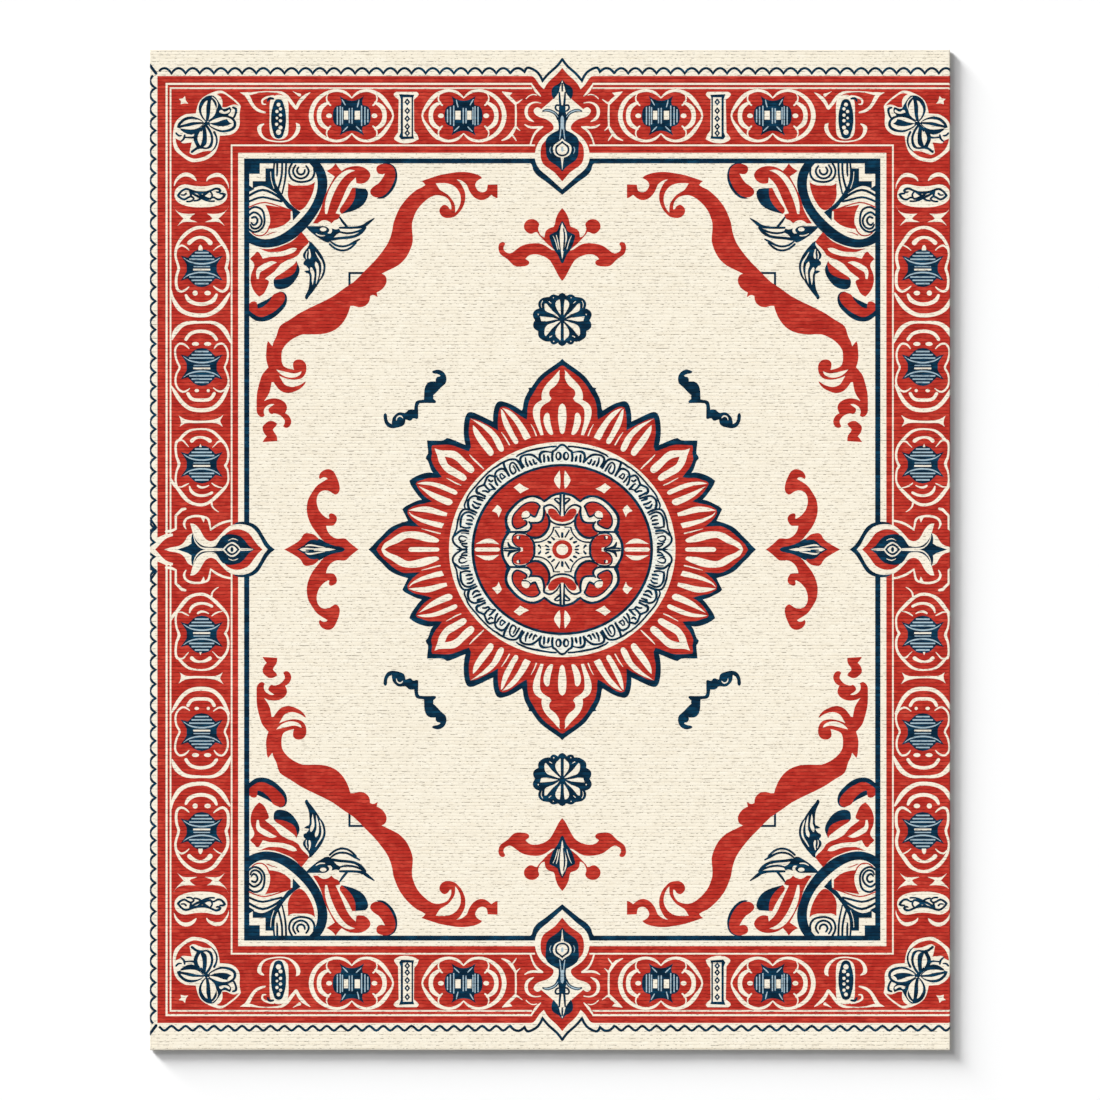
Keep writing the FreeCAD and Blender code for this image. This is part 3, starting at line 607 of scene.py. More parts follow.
def draw_field_fans():
    """The navy fan in each corner of the field, with its key, ribs, spirals and red petals."""
    lay("field_navy", FOUR, shape(
        "953 1176*, 738 1176*, 727 1160, 718 1135, 716 1108, 722 1078, 736 1043, 756 1010, 782 978, "
        "812 951, 846 932, 880 922, 907 920, 932 925, 953 934*"))
    lay("field_cream", FOUR, shape(
        "953 1176*, 770 1176*, 757 1160, 748 1138, 745 1113, 748 1088, 758 1060, 776 1030, 802 1001, "
        "832 975, 862 956, 892 946, 916 946, 938 955, 953 968*"))
    lay("field_navy", FOUR, box(922, 1145, 953, 1176), shape(
        "903 1160*, 880 1160*, 879 1130, 872 1112, 862 1094, 850 1075, 832 1054, 815 1039, 798 1027*, "
        "820 1002*, 821 1030*, 838 1043, 850 1060, 862 1077, 880 1092, 900 1104, 915 1108, 925 1107, "
        "942 1100*, 942 1121*, 903 1121*"), shape("953 1108*, 938 1098*, 953 1090*"))
    lay("field_navy", FOUR, *strokes(
        "953 1078 6, 912 1095 6, 870 1078 6, 835 1050 6, 815 1035 6",
        "953 1060 5, 912 1073 5, 880 1066 5, 855 1060 5",
        "953 1035 5, 938 1043 5, 915 1035 5, 907 1010 5, 910 985 5, 925 970 5, 940 967 5, 953 975 5",
        "953 1018 5, 940 1027 5, 922 1018 5, 915 1003 5, 920 985 5, 932 977 5, 945 980 5, 950 990 3",
        "945 1010 5, 935 1013 5, 928 1003 5, 932 992 5, 940 988 5, 947 995 3",
        "823 1176 5, 832 1155 5, 825 1130 5, 805 1120 5, 785 1120 5, 765 1127 5, 755 1145 5, 757 1160 3",
        "812 1170 4, 820 1152 5, 812 1136 5, 796 1130 5, 780 1136 5, 772 1152 5, 780 1168 4",
        "803 1164 4, 808 1154 5, 803 1144 5, 794 1142 5, 786 1147 5, 784 1156 4",
        "877 1176 4, 879 1145 4, 875 1115 4, 866 1096 5", "868 1176 5, 868 1150 5, 869 1138 3",
        "853 1176 5, 854 1145 5, 860 1115 5, 866 1096 5", "841 1176 5, 842 1145 5, 846 1115 4, 853 1084 3"))
    lay("field_red", FOUR, *strokes("953 1043 4, 905 1057 4, 870 1048 4, 825 1032 4",
        "892 985 4, 899 968 4, 912 957 4, 932 957 4, 945 965 3", "868 968 1, 885 964 3, 900 958 3"))
    lay("field_red", FOUR, *shapes(
        "905 1050*, 880 1046, 850 1040, 827 1031*, 827 1006*, 845 990, 865 981, 898 976*, 891 990, "
        "890 1010, 895 1030", "835 1116*, 828 1111, 800 1109, 765 1112, 753 1120*, 756 1100, 762 1080, "
        "775 1055, 790 1037, 800 1033, 812 1038, 828 1055, 836 1080, 835 1100"))
    lay("field_cream", FOUR, *strokes("888 1150 2, 886 1125 2, 878 1100 2"))


def draw_field_branches():
    """The red forked branches and navy leaves that spring from each corner fan."""
    lay("field_red", FOUR, *shapes(
        "760 993*, 747 1013, 736 1035, 727 1065, 715 1095, 702 1120, 693 1136*, 718 1153*, 701 1163, "
        "690 1176*, 682 1164, 672 1153*, 655 1163, 632 1168, 608 1165, 590 1153, 584 1142, 590 1126, "
        "603 1116, 618 1114, 627 1116*, 629 1133*, 642 1121, 656 1100, 668 1072, 680 1045, 690 1024*, "
        "676 1020*, 683 1006, 692 1003, 703 993*, 714 1001, 728 1003, 745 993*",
        "640 1101*, 629 1101*, 630 1075, 640 1050, 655 1033, 672 1022*, 678 1030, 665 1055, 650 1080",
        "794 967*, 786 958, 779 949, 771 938*, 774 932, 785 922, 792 915, 798 907, 803 898, 811 892, "
        "820 887, 833 883, 847 876, 858 869, 867 858, 876 847, 889 837, 900 829, 905 824*, 896 820, "
        "893 816*, 894 810, 899 798, 905 785, 914 775, 923 770*, 931 777, 940 789, 946 802, 949 815, "
        "949 829, 946 843, 940 856, 938 865, 940 873, 947 881, 951 885*, 945 892, 936 900, 932 906, "
        "927 907, 922 903, 917 895, 912 886*, 902 888, 893 891, 873 892, 851 894, 833 899, 820 904, "
        "811 911*, 808 917*, 816 919, 829 917, 843 911, 858 907, 878 906, 895 906, 905 909, 916 914, "
        "926 918*, 914 916, 898 915, 880 917, 862 922, 847 928, 832 934, 818 943, 807 953, 800 961"))
    lay("field_cream", FOUR, *shapes(
        "722 1022*, 723 1045, 714 1085, 695 1122, 672 1147, 648 1157, 631 1154*, 652 1145, 676 1120, "
        "694 1088, 708 1052, 716 1022*", "869 874*, 884 878, 898 875, 914 867, 927 858, 932 847, 932 836, "
        "930 824*, 924 824*, 923 833, 920 844, 909 851, 894 860, 880 869"))
    lay("field_navy", FOUR, *shapes(
        "629 1100*, 600 1098*, 593 1090, 595 1070, 607 1050, 630 1035, 655 1027, 672 1022*, 655 1035, "
        "640 1052, 630 1075", "810 879*, 806 869, 801 856, 802 843, 807 831, 814 820, 825 807, 838 798, "
        "852 794, 867 794, 875 799, 878 810, 878 820, 872 829, 861 836, 847 845, 832 856, 820 865, 812 873",
        "783 985*, 740 984, 720 983, 710 973, 716 963*, 705 962, 700 972, 702 978*, 690 974, 680 976*, "
        "676 968, 688 960, 700 944*, 712 936, 735 945, 760 963", "772 940*, 763 934, 755 925, 746 915, "
        "739 905, 732 895, 727 884, 722 870, 722 853, 725 839, 731 827, 738 819, 742 811, 751 798, "
        "761 784, 772 771, 779 762, 782 765, 783 770, 779 778, 773 791, 770 805, 769 819, 769 833, "
        "771 840*, 779 843, 786 848*, 779 849, 771 850, 773 857*, 779 864, 787 868, 787 875, 782 880*, "
        "782 884, 786 887, 789 894, 788 901, 783 909, 775 919, 770 929"))
    lay("field_red", FOUR, shape(
        "810 879*, 807 868, 809 860, 812 849, 821 838, 834 831, 851 825, 865 823, 875 822*, 872 830, "
        "861 837, 847 846, 832 857, 820 866, 812 874"))
    lay("field_navy", FOUR, *strokes(
        "677 980 5, 655 980 6, 625 981 6, 605 985 9, 590 996 8, 573 1008 2",
        "680 968 4, 655 963 5, 625 968 5, 600 980 5", "678 1012 3, 670 1000 6, 656 983 6",
        "700 945 8, 680 948 7, 655 950 7, 632 954 7, 612 966 8, 600 980 6",
        "704 937 4, 690 927 5, 668 923 5, 650 927 5, 632 937 6, 617 945 3",
        "708 930 5, 692 917 5, 675 911 5, 655 913 5, 638 924 5, 628 934 4"))
    lay("field_cream", FOUR, oval(728, 975, 10, 6), *shapes(
        "765 860, 759 853, 755 843, 756 826, 760 805*, 763 819, 763 836, 767 847, 768 856", "751 877*, "
        "744 870, 741 853, 741 839, 745 822, 750 808*, 749 825, 748 840, 749 854, 753 864, 753 872"))
    lay("field_cream", FOUR, *strokes("750 962 2, 738 956 4, 724 956 3",
        "771 914 3, 768.5 902 5, 769 893 7, 770 888 5", "777 908 2, 780 898 3, 779 886 2",
        "751 905 2, 743 891 4, 734 877 5, 730.5 861 6, 731.5 847 5, 735.5 833 4, 739 824 1"))


def draw_field_commas():
    """The two red commas, shaded navy, against the field's end and side."""
    lay("field_navy", FOUR, *shapes(
        "548 1176*, 528 1176, 510 1164, 503 1140, 508 1112, 524 1086, 546 1070, 565 1069*, 550 1080, "
        "530 1100, 515 1130, 514 1150, 525 1168", "860 785*, 847 782, 840 772, 839 758, 845 740, 860 723, "
        "876 709, 894 699, 913 695, 931 697, 945 705, 953 712*, 953 735*, 900 760*"))
    lay("field_red", FOUR, *shapes(
        "565 1165, 550 1174, 530 1174, 515 1165, 508 1140, 515 1115, 530 1090, 550 1075, 570 1073, "
        "583 1082, 585 1092, 575 1105, 560 1115, 545 1135, 540 1145*, 550 1143, 560 1145, 566 1155",
        "928 734*, 929 745, 931 753, 938 756, 947 754, 953 749*, 953 728*, 938 716, 924 709, 909 709, "
        "893 716, 874 727, 862 738, 851 750, 845 763, 845 774, 851 782, 860 784, 871 781, 882 774, "
        "887 763, 896 752, 909 741, 920 735"))


def draw_field_scroll():
    """The long red double scroll on each quarter of the field, over its bent navy rule."""
    lay("field_navy", FOUR, stroke("648 780 5, 648 842 5*, 615 842 5, 600 842 5, 560 850 5"))
    lay("field_red", FOUR, shape(
        "429 1122*, 418 1126, 400 1132, 375 1140, 350 1145, 325 1149, 300 1150, 276 1147, 259 1142, "
        "248 1136, 244 1131*, 253 1127, 261 1120, 265 1111, 262 1101, 254 1091, 242 1088, 231 1093, "
        "228 1104, 227 1111*, 197 1112*, 197 1070*, 202 1071, 209 1075, 216 1080*, 225 1072, 235 1066, "
        "248 1064, 263 1069, 276 1081, 285 1096, 291 1111, 300 1119, 310 1125, 322 1127*, 312 1119, "
        "304 1106, 297 1091, 295 1074, 297 1057, 302 1044, 308 1033, 317 1023, 327 1014, 342 1010, "
        "355 1010, 366 1015, 373 1025, 374 1036, 368 1045, 359 1050, 349 1046, 343 1037*, 338 1036*, "
        "338 1046, 342 1059, 353 1072, 366 1077, 383 1079, 398 1075, 418 1061, 433 1046, 445 1029, "
        "452 1012, 457 995, 457 970, 455 940, 462 915, 475 890, 500 865, 530 850, 550 840*, 540 835, "
        "535 815, 542 800, 560 785, 565 783*, 562 768*, 578 775, 585 772*, 588 755, 600 742, 620 738, "
        "635 742, 645 742*, 650 725, 665 695, 690 670, 720 658, 755 655, 790 655, 813 646, 830 635, "
        "845 620, 853 606, 855 589, 854 572, 849 559, 836 552, 817 547*, 820 559, 819 570, 812 577, "
        "801 579, 790 576, 781 565, 779 551, 782 536, 792 523, 805 518, 822 517, 838 520, 851 524, "
        "862 529*, 855 517, 847 504, 834 497, 822 495, 805 499, 792 505, 784 511, 780 512*, 784 504, "
        "796 491, 813 482, 834 476, 849 479, 860 485, 870 496, 879 509*, 885 510*, 887 498, 890 483, "
        "897 468, 908 452*, 898 457, 885 460, 870 460, 855 455, 845 448, 838 434, 841 421, 844 415*, "
        "834 409, 828 400, 825 390, 829 377, 836 371, 845 371, 850 375*, 847 381, 845 392, 850 400, "
        "860 409, 870 413, 879 414, 885 412, 892 417, 895 428, 889 434, 877 442*, 887 443, 898 438, "
        "906 430, 909 419, 906 408*, 915 403, 923 407, 930 417, 931 434, 931 455, 929 481, 924 502, "
        "919 519, 913 534, 905 544, 895 555*, 899 567, 902 584, 901 608, 899 627, 896 635*, 890 628, "
        "883 619*, 879 633, 872 646, 860 680, 830 700, 800 720, 750 745, 700 770, 665 795, 635 815, "
        "600 850, 575 875, 550 905, 530 935, 518 970, 514 995, 508 1012, 501 1029, 493 1044, 482 1059, "
        "469 1074, 456 1086, 443 1096, 428 1103, 417 1110*, 422 1117"))
    lay("field_red", FOUR, shape(
        "913 327*, 907 337, 900 345*, 908 354, 912 364, 912 375, 905 383, 894 391, 881 391, 868 383*, "
        "872 375, 881 366, 878 358, 870 347, 868 330*, 898 328"))
    lay("field_cream", FOUR, *shapes(
        "385 1115*, 375 1116, 358 1116, 342 1113, 327 1105, 317 1094, 310 1078, 309 1063, 313 1046, "
        "320 1033, 326 1026*, 326 1040, 329 1055, 336 1066, 349 1081, 362 1089, 373 1096, 378 1103",
        "871 548*, 855 544, 834 539, 815 536, 805 538, 794 543*, 796 536, 805 528, 817 524, 834 524, "
        "851 530, 864 540"))


def draw_field_squiggle():
    """The small navy bird-like scroll between the double scroll and the star."""
    lay("field_navy", FOUR, shape(
        "396 541, 388 545.5, 377 547, 366 543, 358 535, 354 525, 353.5 515, 357 505, 364 499, 372 492, "
        "380 483, 388 475, 394 470*, 393 465, 393.5 459, 389 455, 385.5 452*, 386 447.5, 390 446.5, "
        "402 447, 420 447, 435 446*, 439 440, 439.5 425, 439.3 400*, 443 398, 449 400, 456 399.5, 460 394, "
        "466 393, 472 395.5, 478 397*, 479 390, 482 381, 489 376, 500 372.5, 512 370, 524 371, 533 376, "
        "540 387, 543 400, 543 410, 539.5 414.5, 535 411, 534 400, 531.5 391, 526 384.5, 519 381*, "
        "518 390, 516 400, 509 409, 500 416, 491 417, 480 415*, 474 418, 468 424, 460 426, 450 425*, "
        "450 430, 448.5 440, 445 450, 437 454, 427 455, 420.5 456*, 420 466, 419.5 480, 416 497, 409 507, "
        "400 511, 390 511, 384 511*, 384.5 519, 380 525, 374 526, 369.5 529*, 374 533, 382 536, 392 537.5"))
    lay("field_cream", FOUR, stroke("505 394 2, 503.5 401 3, 498 406 4, 491 406 4, 486 401 2"))


def draw_field_roundels():
    """The twelve-spoked navy roundel above and below the star, scalloped all round."""
    lay("field_navy", ENDS, half(
        "0 781, 8 777, 11 773, 15 773*, 20 775, 28 776, 35 773, 39 769*, 47 768, 58 766, 67 760, 72 751, "
        "72 742, 69 734*, 78 731, 86 724, 89 715, 86 705, 82 698*, 86 692, 88 684, 86 675, 79 669, "
        "72 665*, 73 657, 70 647, 62 640, 52 635, 36 634*, 33 628, 27 625, 19 627, 13 631*, 8 624, 0 620",
        0))
    lay("field_cream", FOUR, *shapes(
        "8 761*, 13 760, 19 754, 21 746, 18 736, 11 723, 4.5 714*, 5 736, 6 751",
        "54 749*, 54 738, 52 728, 44 723, 28 717, 9 705*, 15 714, 28 725, 41 740, 49 749",
        "68 710*, 64 696*, 47 695, 28 699, 13 701*, 28 706, 47 708",
        "6 696*, 15 695, 28 690, 45 684, 52 675, 54 664, 53 653, 50 650*, 42 659, 32 672, 19 684",
        "4.5 690*, 11 682, 19 669, 21 658, 19 650, 10 641*, 7 637, 5 659"))
    lay("field_cream", FOUR, *strokes("34 750 1.5, 40 755 2.5", "60 757 2, 64 748 2, 62 736 1",
        "31 651 1.5, 38 647 3"))
    lay("field_cream", FOUR, oval(27, 767, 1.6, 1.6), oval(73, 716, 2, 2.4), oval(26, 634, 2, 2))


def draw_palmettes():
    """The red palmettes that point at the star: those at the ends have a navy heart and berries."""
    upper = (
        "0 1040*, 7 1032, 15 1019, 20 1006, 23 990, 26 983*, 36 980, 45 975, 51 968, 53 958, 54 951*, "
        "59 952, 71 967, 73 974*, 73 980, 70 990, 74 998, 84 1005, 98 1006, 109 1001, 116 990, 116 978, "
        "109 968, 100 962, 91 962, 83 966, 77 967*, 71 958, 59 945, 46 931, 34 921, 28 916*, 0 900*")
    arm = (
        "33 913*, 43 920, 52 926, 68 932, 83 933, 98 932, 113 929, 129 922, 141 913, 153 904, 159 902, "
        "170 905, 177 911, 179 919, 177 925, 174 929, 176 935, 182 937, 190 933, 194 925, 194 914, "
        "190 902, 182 894, 168 885, 158 875, 149 866, 138 862, 123 862, 107 865, 101 870, 101 877, "
        "107 882, 112 885*, 107 891, 98 897, 86 899, 72 898, 59 894, 46 887, 36 878, 28 865, 20 850, "
        "13 836, 7 826, 0 818*, 0 905*")
    lay("field_red", ENDS, half(upper, 0))
    lay("field_red", FOUR, shape(arm))
    lay("field_navy", ENDS, half(
        "0 1000*, 5 993, 10 983, 14 971, 23 965, 32 961, 38 957, 37 946, 34 936, 29 922, 22 910, 13 898, "
        "7 884, 4 876, 0 872*", 0))
    lay("field_cream", ENDS, half("0 995*, 4 984, 7 968, 7.5 948, 6 928, 4 910, 2 894, 0 885*", 0))
    lay("field_cream", ENDS, shape(
        "6 984*, 11 972, 14 958, 14 944, 10 930, 7 918*, 9 932, 10 946, 9 962, 7 974"))
    lay("field_navy", ENDS, stroke("3 978 1, 6 962 2, 6.5 946 2, 5 928 2, 3 910 1"))
    lay("field_cream", FOUR, *strokes("28 955 1.5, 23 945 2, 18 930 2.5, 14 914 2"))
    lay("field_cream", ENDS, *strokes("-18 957 2, -15 946 3, -12 930 3, -9 914 2"))
    lay("field_red", SIDES, half(
        "847 0*, 835 6, 821 14, 808 22, 798 30, 793 37, 789 45, 781 50, 769 49, 757 46, 747 38, 740 31*, "
        "720 20*, 700 5*, 700 0*", 1))
    lay("field_red", FOUR, shape(
        "735 34*, 740 41, 750 53, 761 68, 769 83, 775 100, 778 115, 778 130, 776 145, 771 159, 762 174, "
        "752 189, 740 200, 727 208, 715 215*, 719 219, 727 220, 734 217, 738 214*, 741 219, 740 226, "
        "735 235, 725 242, 713 245, 702 242, 693 233, 687 221, 681 206, 678 193, 678 181, 683 171, "
        "691 167, 699 171, 708 177, 720 180, 732 178, 740 172, 746 161, 748 147, 746 134, 740 118, "
        "732 108, 722 99, 713 94*, 709 95*, 710 107, 707 110, 698 109, 691 105, 686 95, 690 81, 696 74, "
        "707 72, 719 72*, 718 66, 713 53, 705 43, 695 36, 683 33, 670 34, 660 33, 650 24, 640 15, 630 7, "
        "620 0*, 700 0*, 720 20*"))
    lay("field_navy", SIDES, half(
        "807 0*, 798 5, 786 12, 776 22, 766 28, 754 29, 744 28, 740 32*, 732 28, 720 21, 707 15, 690 10, "
        "674 7, 666 4, 663 0*", 1))
    lay("field_cream", SIDES, half("800 0*, 790 5, 775 5, 755 3, 730 5, 710 4, 690 0*", 1))
    lay("field_cream", FOUR, stroke("782 10 2, 774 13 5, 760 12.5 5, 740 9 4, 722 6 1"))
    lay("field_navy", SIDES, stroke("780 -2 2, 768 -2 3, 758 -2 2"))


def draw_star():
    """The many-pointed red star round the medallion: navy rim, cream slivers."""
    lay("rays_navy", ONCE, four_ways(
        "589 0*, 577 11, 566 24, 548 41, 528 62, 510 73, 489 81, 469 87*, 474 98, 480 110, 486 122*, "
        "482 127, 471 134, 455 142, 442 148, 427 152*, 437 163, 451 182, 460 196, 465 209*, 453 218, "
        "437 226, 419 232, 403 234, 393 233*, 399 243, 405 261, 410 272, 415 277*, 414 282, 408 291*, "
        "408 302, 410 318, 411 331*, 385 331, 362 332, 351 339*, 342 337, 324 330, 306 322, 294 318*, "
        "297 331, 299 350, 299 375, 296 397, 291 411, 285 417, 278 418, 264 414, 244 405, 226 396, "
        "210 389*, 210 401, 208 421, 203 439, 198 447, 190 451, 177 449, 157 442, 137 431, 123 422*, "
        "120 427, 118 441, 113 461, 105 477, 100 486*, 103 491*, 93 493*, 85 505, 73 522, 57 537, 41 549, "
        "22 562, 8 572, 0 580*"))
    lay("rays_red", ONCE, four_ways(
        "566 0*, 557 15, 539 33, 519 51, 500 64, 482 71, 464 71, 448 70, 433 69*, 442 76, 455 87, 464 98, "
        "471 110, 469 122*, 455 131, 437 137, 419 140, 396 147*, 410 155, 421 164, 433 178, 444 196, "
        "446 200*, 442 206, 428 211, 405 218, 385 218, 366 220*, 376 234, 385 245, 394 261, 399 277, "
        "396 293, 398 311, 396 317*, 378 318, 360 319, 347 319, 328 315, 310 308, 294 302, 284 299*, "
        "278 312*, 280 328, 284 348, 284 371, 282 389, 280 399*, 270 398, 250 391, 232 382, 214 373, "
        "195 362*, 196 375, 196 395, 194 415, 190 431*, 181 435, 165 431, 149 421, 131 409, 117 400, "
        "108 396*, 106 411, 106 427, 103 443, 97 461, 87 477, 77 495, 64 512, 48 528, 32 540, 16 550, "
        "6 558, 0 560*"))
    lay("rays_cream", SIDES, half(
        "551 0*, 541 19, 523 30, 503 44, 487 52, 469 55, 446 55, 423 51, 401 43, 383 35, 375 29, 377 24, "
        "396 22, 419 25, 441 31, 460 35, 473 35, 487 28, 503 19, 523 12, 542 0*", 1), half(
        "469 0, 465 6, 455 7, 420 7, 380 6*, 375 3, 374 0", 1))
    lay("rays_cream", ENDS, half("0 445, 6 441, 10 434, 12 420, 12 390, 9 370, 5 355, 0 351", 0))
    lay("rays_cream", FOUR, *shapes(
        "468 119*, 453 125, 432 130, 414 131, 396 128, 374 120, 350 111*, 353 101*, 374 104, 396 110, "
        "419 114, 442 116", "468 116*, 460 108, 446 101, 426 94, 401 88, 374 83, 360 79*, 367 65*, 387 69, "
        "408 76, 428 83, 446 93, 460 103", "442 201*, 428 205, 405 206, 383 203, 362 197, 340 187, "
        "323 179, 319 172, 325 167, 335 170, 356 179, 378 188, 401 195, 423 198", "437 193*, 419 185, "
        "396 175, 374 166, 351 157, 336 150, 334 143, 344 135, 362 140, 383 150, 405 164, 423 180",
        "389 308*, 374 303, 351 302, 328 300, 313 291, 299 277, 283 263, 270 250, 268 241, 276 233, "
        "290 239, 306 254, 319 268, 333 277, 351 282, 358 283*, 353 270, 347 259, 333 250, 310 236, "
        "294 224, 291 216, 299 209, 313 214, 333 225, 353 236, 367 252, 376 268, 380 284, 386 300",
        "280 399*, 268 394, 250 387, 232 378, 216 367, 203 354, 191 338, 183 322, 178 308, 179 301, "
        "186 298, 191 300, 196 306, 205 324, 214 342, 230 359, 244 373, 260 385, 273 395", "272 379*, "
        "267 375, 254 360, 240 342, 226 324, 214 308, 210 300, 210 290, 218 285, 234 300, 244 312, "
        "258 332, 268 351, 272 367", "187 428*, 186 411, 182 391, 175 371, 163 350, 151 330, 143 321, "
        "136 323, 134 331, 143 346, 153 367, 163 387, 173 407, 181 423", "183 431*, 169 427, 151 417, "
        "135 401, 121 383, 109 365, 101 351, 96 341*, 113 333*, 118 338, 125 353, 137 375, 149 393, "
        "165 411, 177 425", "7 547*, 9 538, 8 524, 14 508, 24 496, 36 487, 40 477, 38 467, 33 460*, "
        "38 452, 50 445, 62 435, 67 425, 68 407, 66 385, 60 362, 57 349*, 66 348*, 75 369, 84 391, 89 411, "
        "89 425, 84 439, 75 448, 62 455*, 63 469, 59 485, 52 498, 40 512, 28 524, 16 538, 10 544",
        "46 417, 40 413, 38 401, 35 381, 29 358, 28 351, 34 349, 44 357, 53 375, 57 395, 53 411"))
    lay("rays_cream", FOUR, *strokes("428 63 1.5, 408 58 3, 390 53 4, 372 49 4",
        "353 218 1.5, 340 211 3, 324 202 4, 309 196 3", "282 288 2, 270 275 5, 250 256 5, 240 246 3",
        "185 357 1.5, 173 340 4, 161 319 4", "95 381 1.5, 86 365 3, 79 347 4"))


def four_ways(text):
    """A closed outline from its quarter, which runs from the x axis to the y axis."""
    place, corner = written(text)
    part = smooth(place, corner, False)[:, :2]
    return np.vstack([part, (part * (-1, 1))[::-1][1:], (part * (-1, -1))[1:], (part * (1, -1))[::-1][1:-1]])


def draw_lace():
    """The cream ring of the medallion with its navy arches, loops and ticks, and the navy ring inside it."""
    lay("rays_cream", ONCE, oval(0, 0, 345, 328))
    lay("lace_cream", ONCE, oval(0, 0, 334, 319))
    lay("lace_navy", FOUR, *strokes(
        "307 2 4, 317 8 5, 327 16 5, 333 26 5, 332 39 5, 324 46 5, 316 53 6, 307 57.5 6, 298 58 7, "
        "286 56 6", "307 50 2, 297 50 2, 285 48 3", "331 42 3, 327 51 4, 322 62 4, 320 75 4, 318 88 5, "
        "314 101 5, 309 113 5, 302 121 5, 293 123 5, 281 121 6, 270 117 6, 261 112 5",
        "310 68 3, 310 78 6, 309 91 6, 304 104 5, 297 111 5, 286 114 5, 276 111 5, 265 106 4",
        "309 70 4, 301 67 4, 293 65.5 5, 281 67 5", "289 103 4, 280 102 5, 273 98 4, 270 93 3",
        "290 90 3, 283 90 5, 275 87.5 5", "293 79.5 3, 284 77 6, 275 77 5",
        "290 35 2, 300 40 3, 308 41 4, 313 38 4, 314 30 4, 309 26 4, 300 25 3, 294 28 2",
        "312 22 2, 305 18.5 4, 291 18 5", "307 15 2, 300 10 4, 291 7.5 6", "296 126 3, 298 133 4, "
        "296 141 4, 292 150 4, 288 161 4, 280 174 4, 270 186 4, 260 197 4, 252 207 4, 240 220 4, "
        "225 235 4, 210 247 4, 198 254 5, 188 261.5 5, 175 268 5, 164 273 5, 152 275 5, 142 274 5, "
        "135 269 6, 128 259 6, 122 248 6",
        "283 122 6, 286 131 7, 287 143 6, 283 154 5, 275 161 5, 264 163 5, 255 160 6, 246 158 5, 236 155 4",
        "256 160 6, 257 154 6, 250 151.5 5, 242 149 4", "255 172 6, 247 168 5, 235 162 6",
        "270 146 4, 262 141 5, 249 137 6", "273 137 4, 268 129 6, 258 126 6, 253 129 4",
        "256 170 6, 261 176 7, 260 185 6, 254 191 5, 246 194 5, 238 197 6, 230 188 5, 221 180 5",
        "242 178 4, 233 178 5, 226 175 5, 221 179 4", "222 200 4, 217 197 5, 211 190 6, 205 184 6",
        "221 181 4, 212 183 3, 205 184 4",
        "0 319 6, 7 317 5, 14 310 5, 21 303 5, 28 299 6, 30 291 6, 31 280 6, 29.5 270 6", "19 314 4, "
        "33 313.5 4, 50 311 4, 70 307.5 5, 91 303.5 5, 108 299 5, 122 293 5, 132 288.5 4, 139 283 3",
        "30 295 3, 43 297.5 3, 57 298 6, 65 294 7, 68.5 286 6, 68 275 6, 65 266 6",
        "56 287 5, 55 277 6, 55 268 6", "44 284 4, 42 277 7, 41 270 5", "66 267 5, 71 272 5, 79 280 5, "
        "87 286 6, 97 289 6, 108 288.5 5, 119 286 5, 126 281 6, 128 273 6, 124 262 5, 117 252 5",
        "112 279 3, 111 268 5, 105 255 6", "100 269 4, 97 263 5, 93 258 6",
        "89 274 4, 86 266 5, 82 261 5, 78 264 4", "131 240 5, 138 252 5, 145 262 4, 152 265 4, "
        "158.5 259 4, 160 250 4, 157 239 5, 151 231 5, 145 233 4, 141 239 4, 145 248 4, 149 255 3",
        "162 225 6, 169 237 7, 175 250 6, 178 259 6, 178 266 4", "171 238 6, 177 244 5, 185 246 6, "
        "193 243 5, 200 238 5, 204 231 5, 205 222 5, 204 210 5, 200 200 6, 197 196 5",
        "183 214 3, 188 221 4, 189 229 3, 184 231 3, 180 226 3, 174 222 4, 180 217 4",
        "200 223 3, 195 213 5, 187 205 4", "222 226 5, 230 218 6, 234 208 5, 238 197 6",
        "222 226 5, 214 224 5, 205 222 5", "224 212 5, 217 207 5, 212 210 4"))
    lay("lace_navy", FOUR, oval(11, 284.5, 9.5, 13))
    lay("lace_cream", FOUR, oval(12.5, 285.5, 3.5, 8))
    lay("lace_navy", SIDES, stroke("320 0 2, 305 0 5, 292 0 7"))
    lay("ring_navy", ONCE, oval(0, 0, 277, 261))


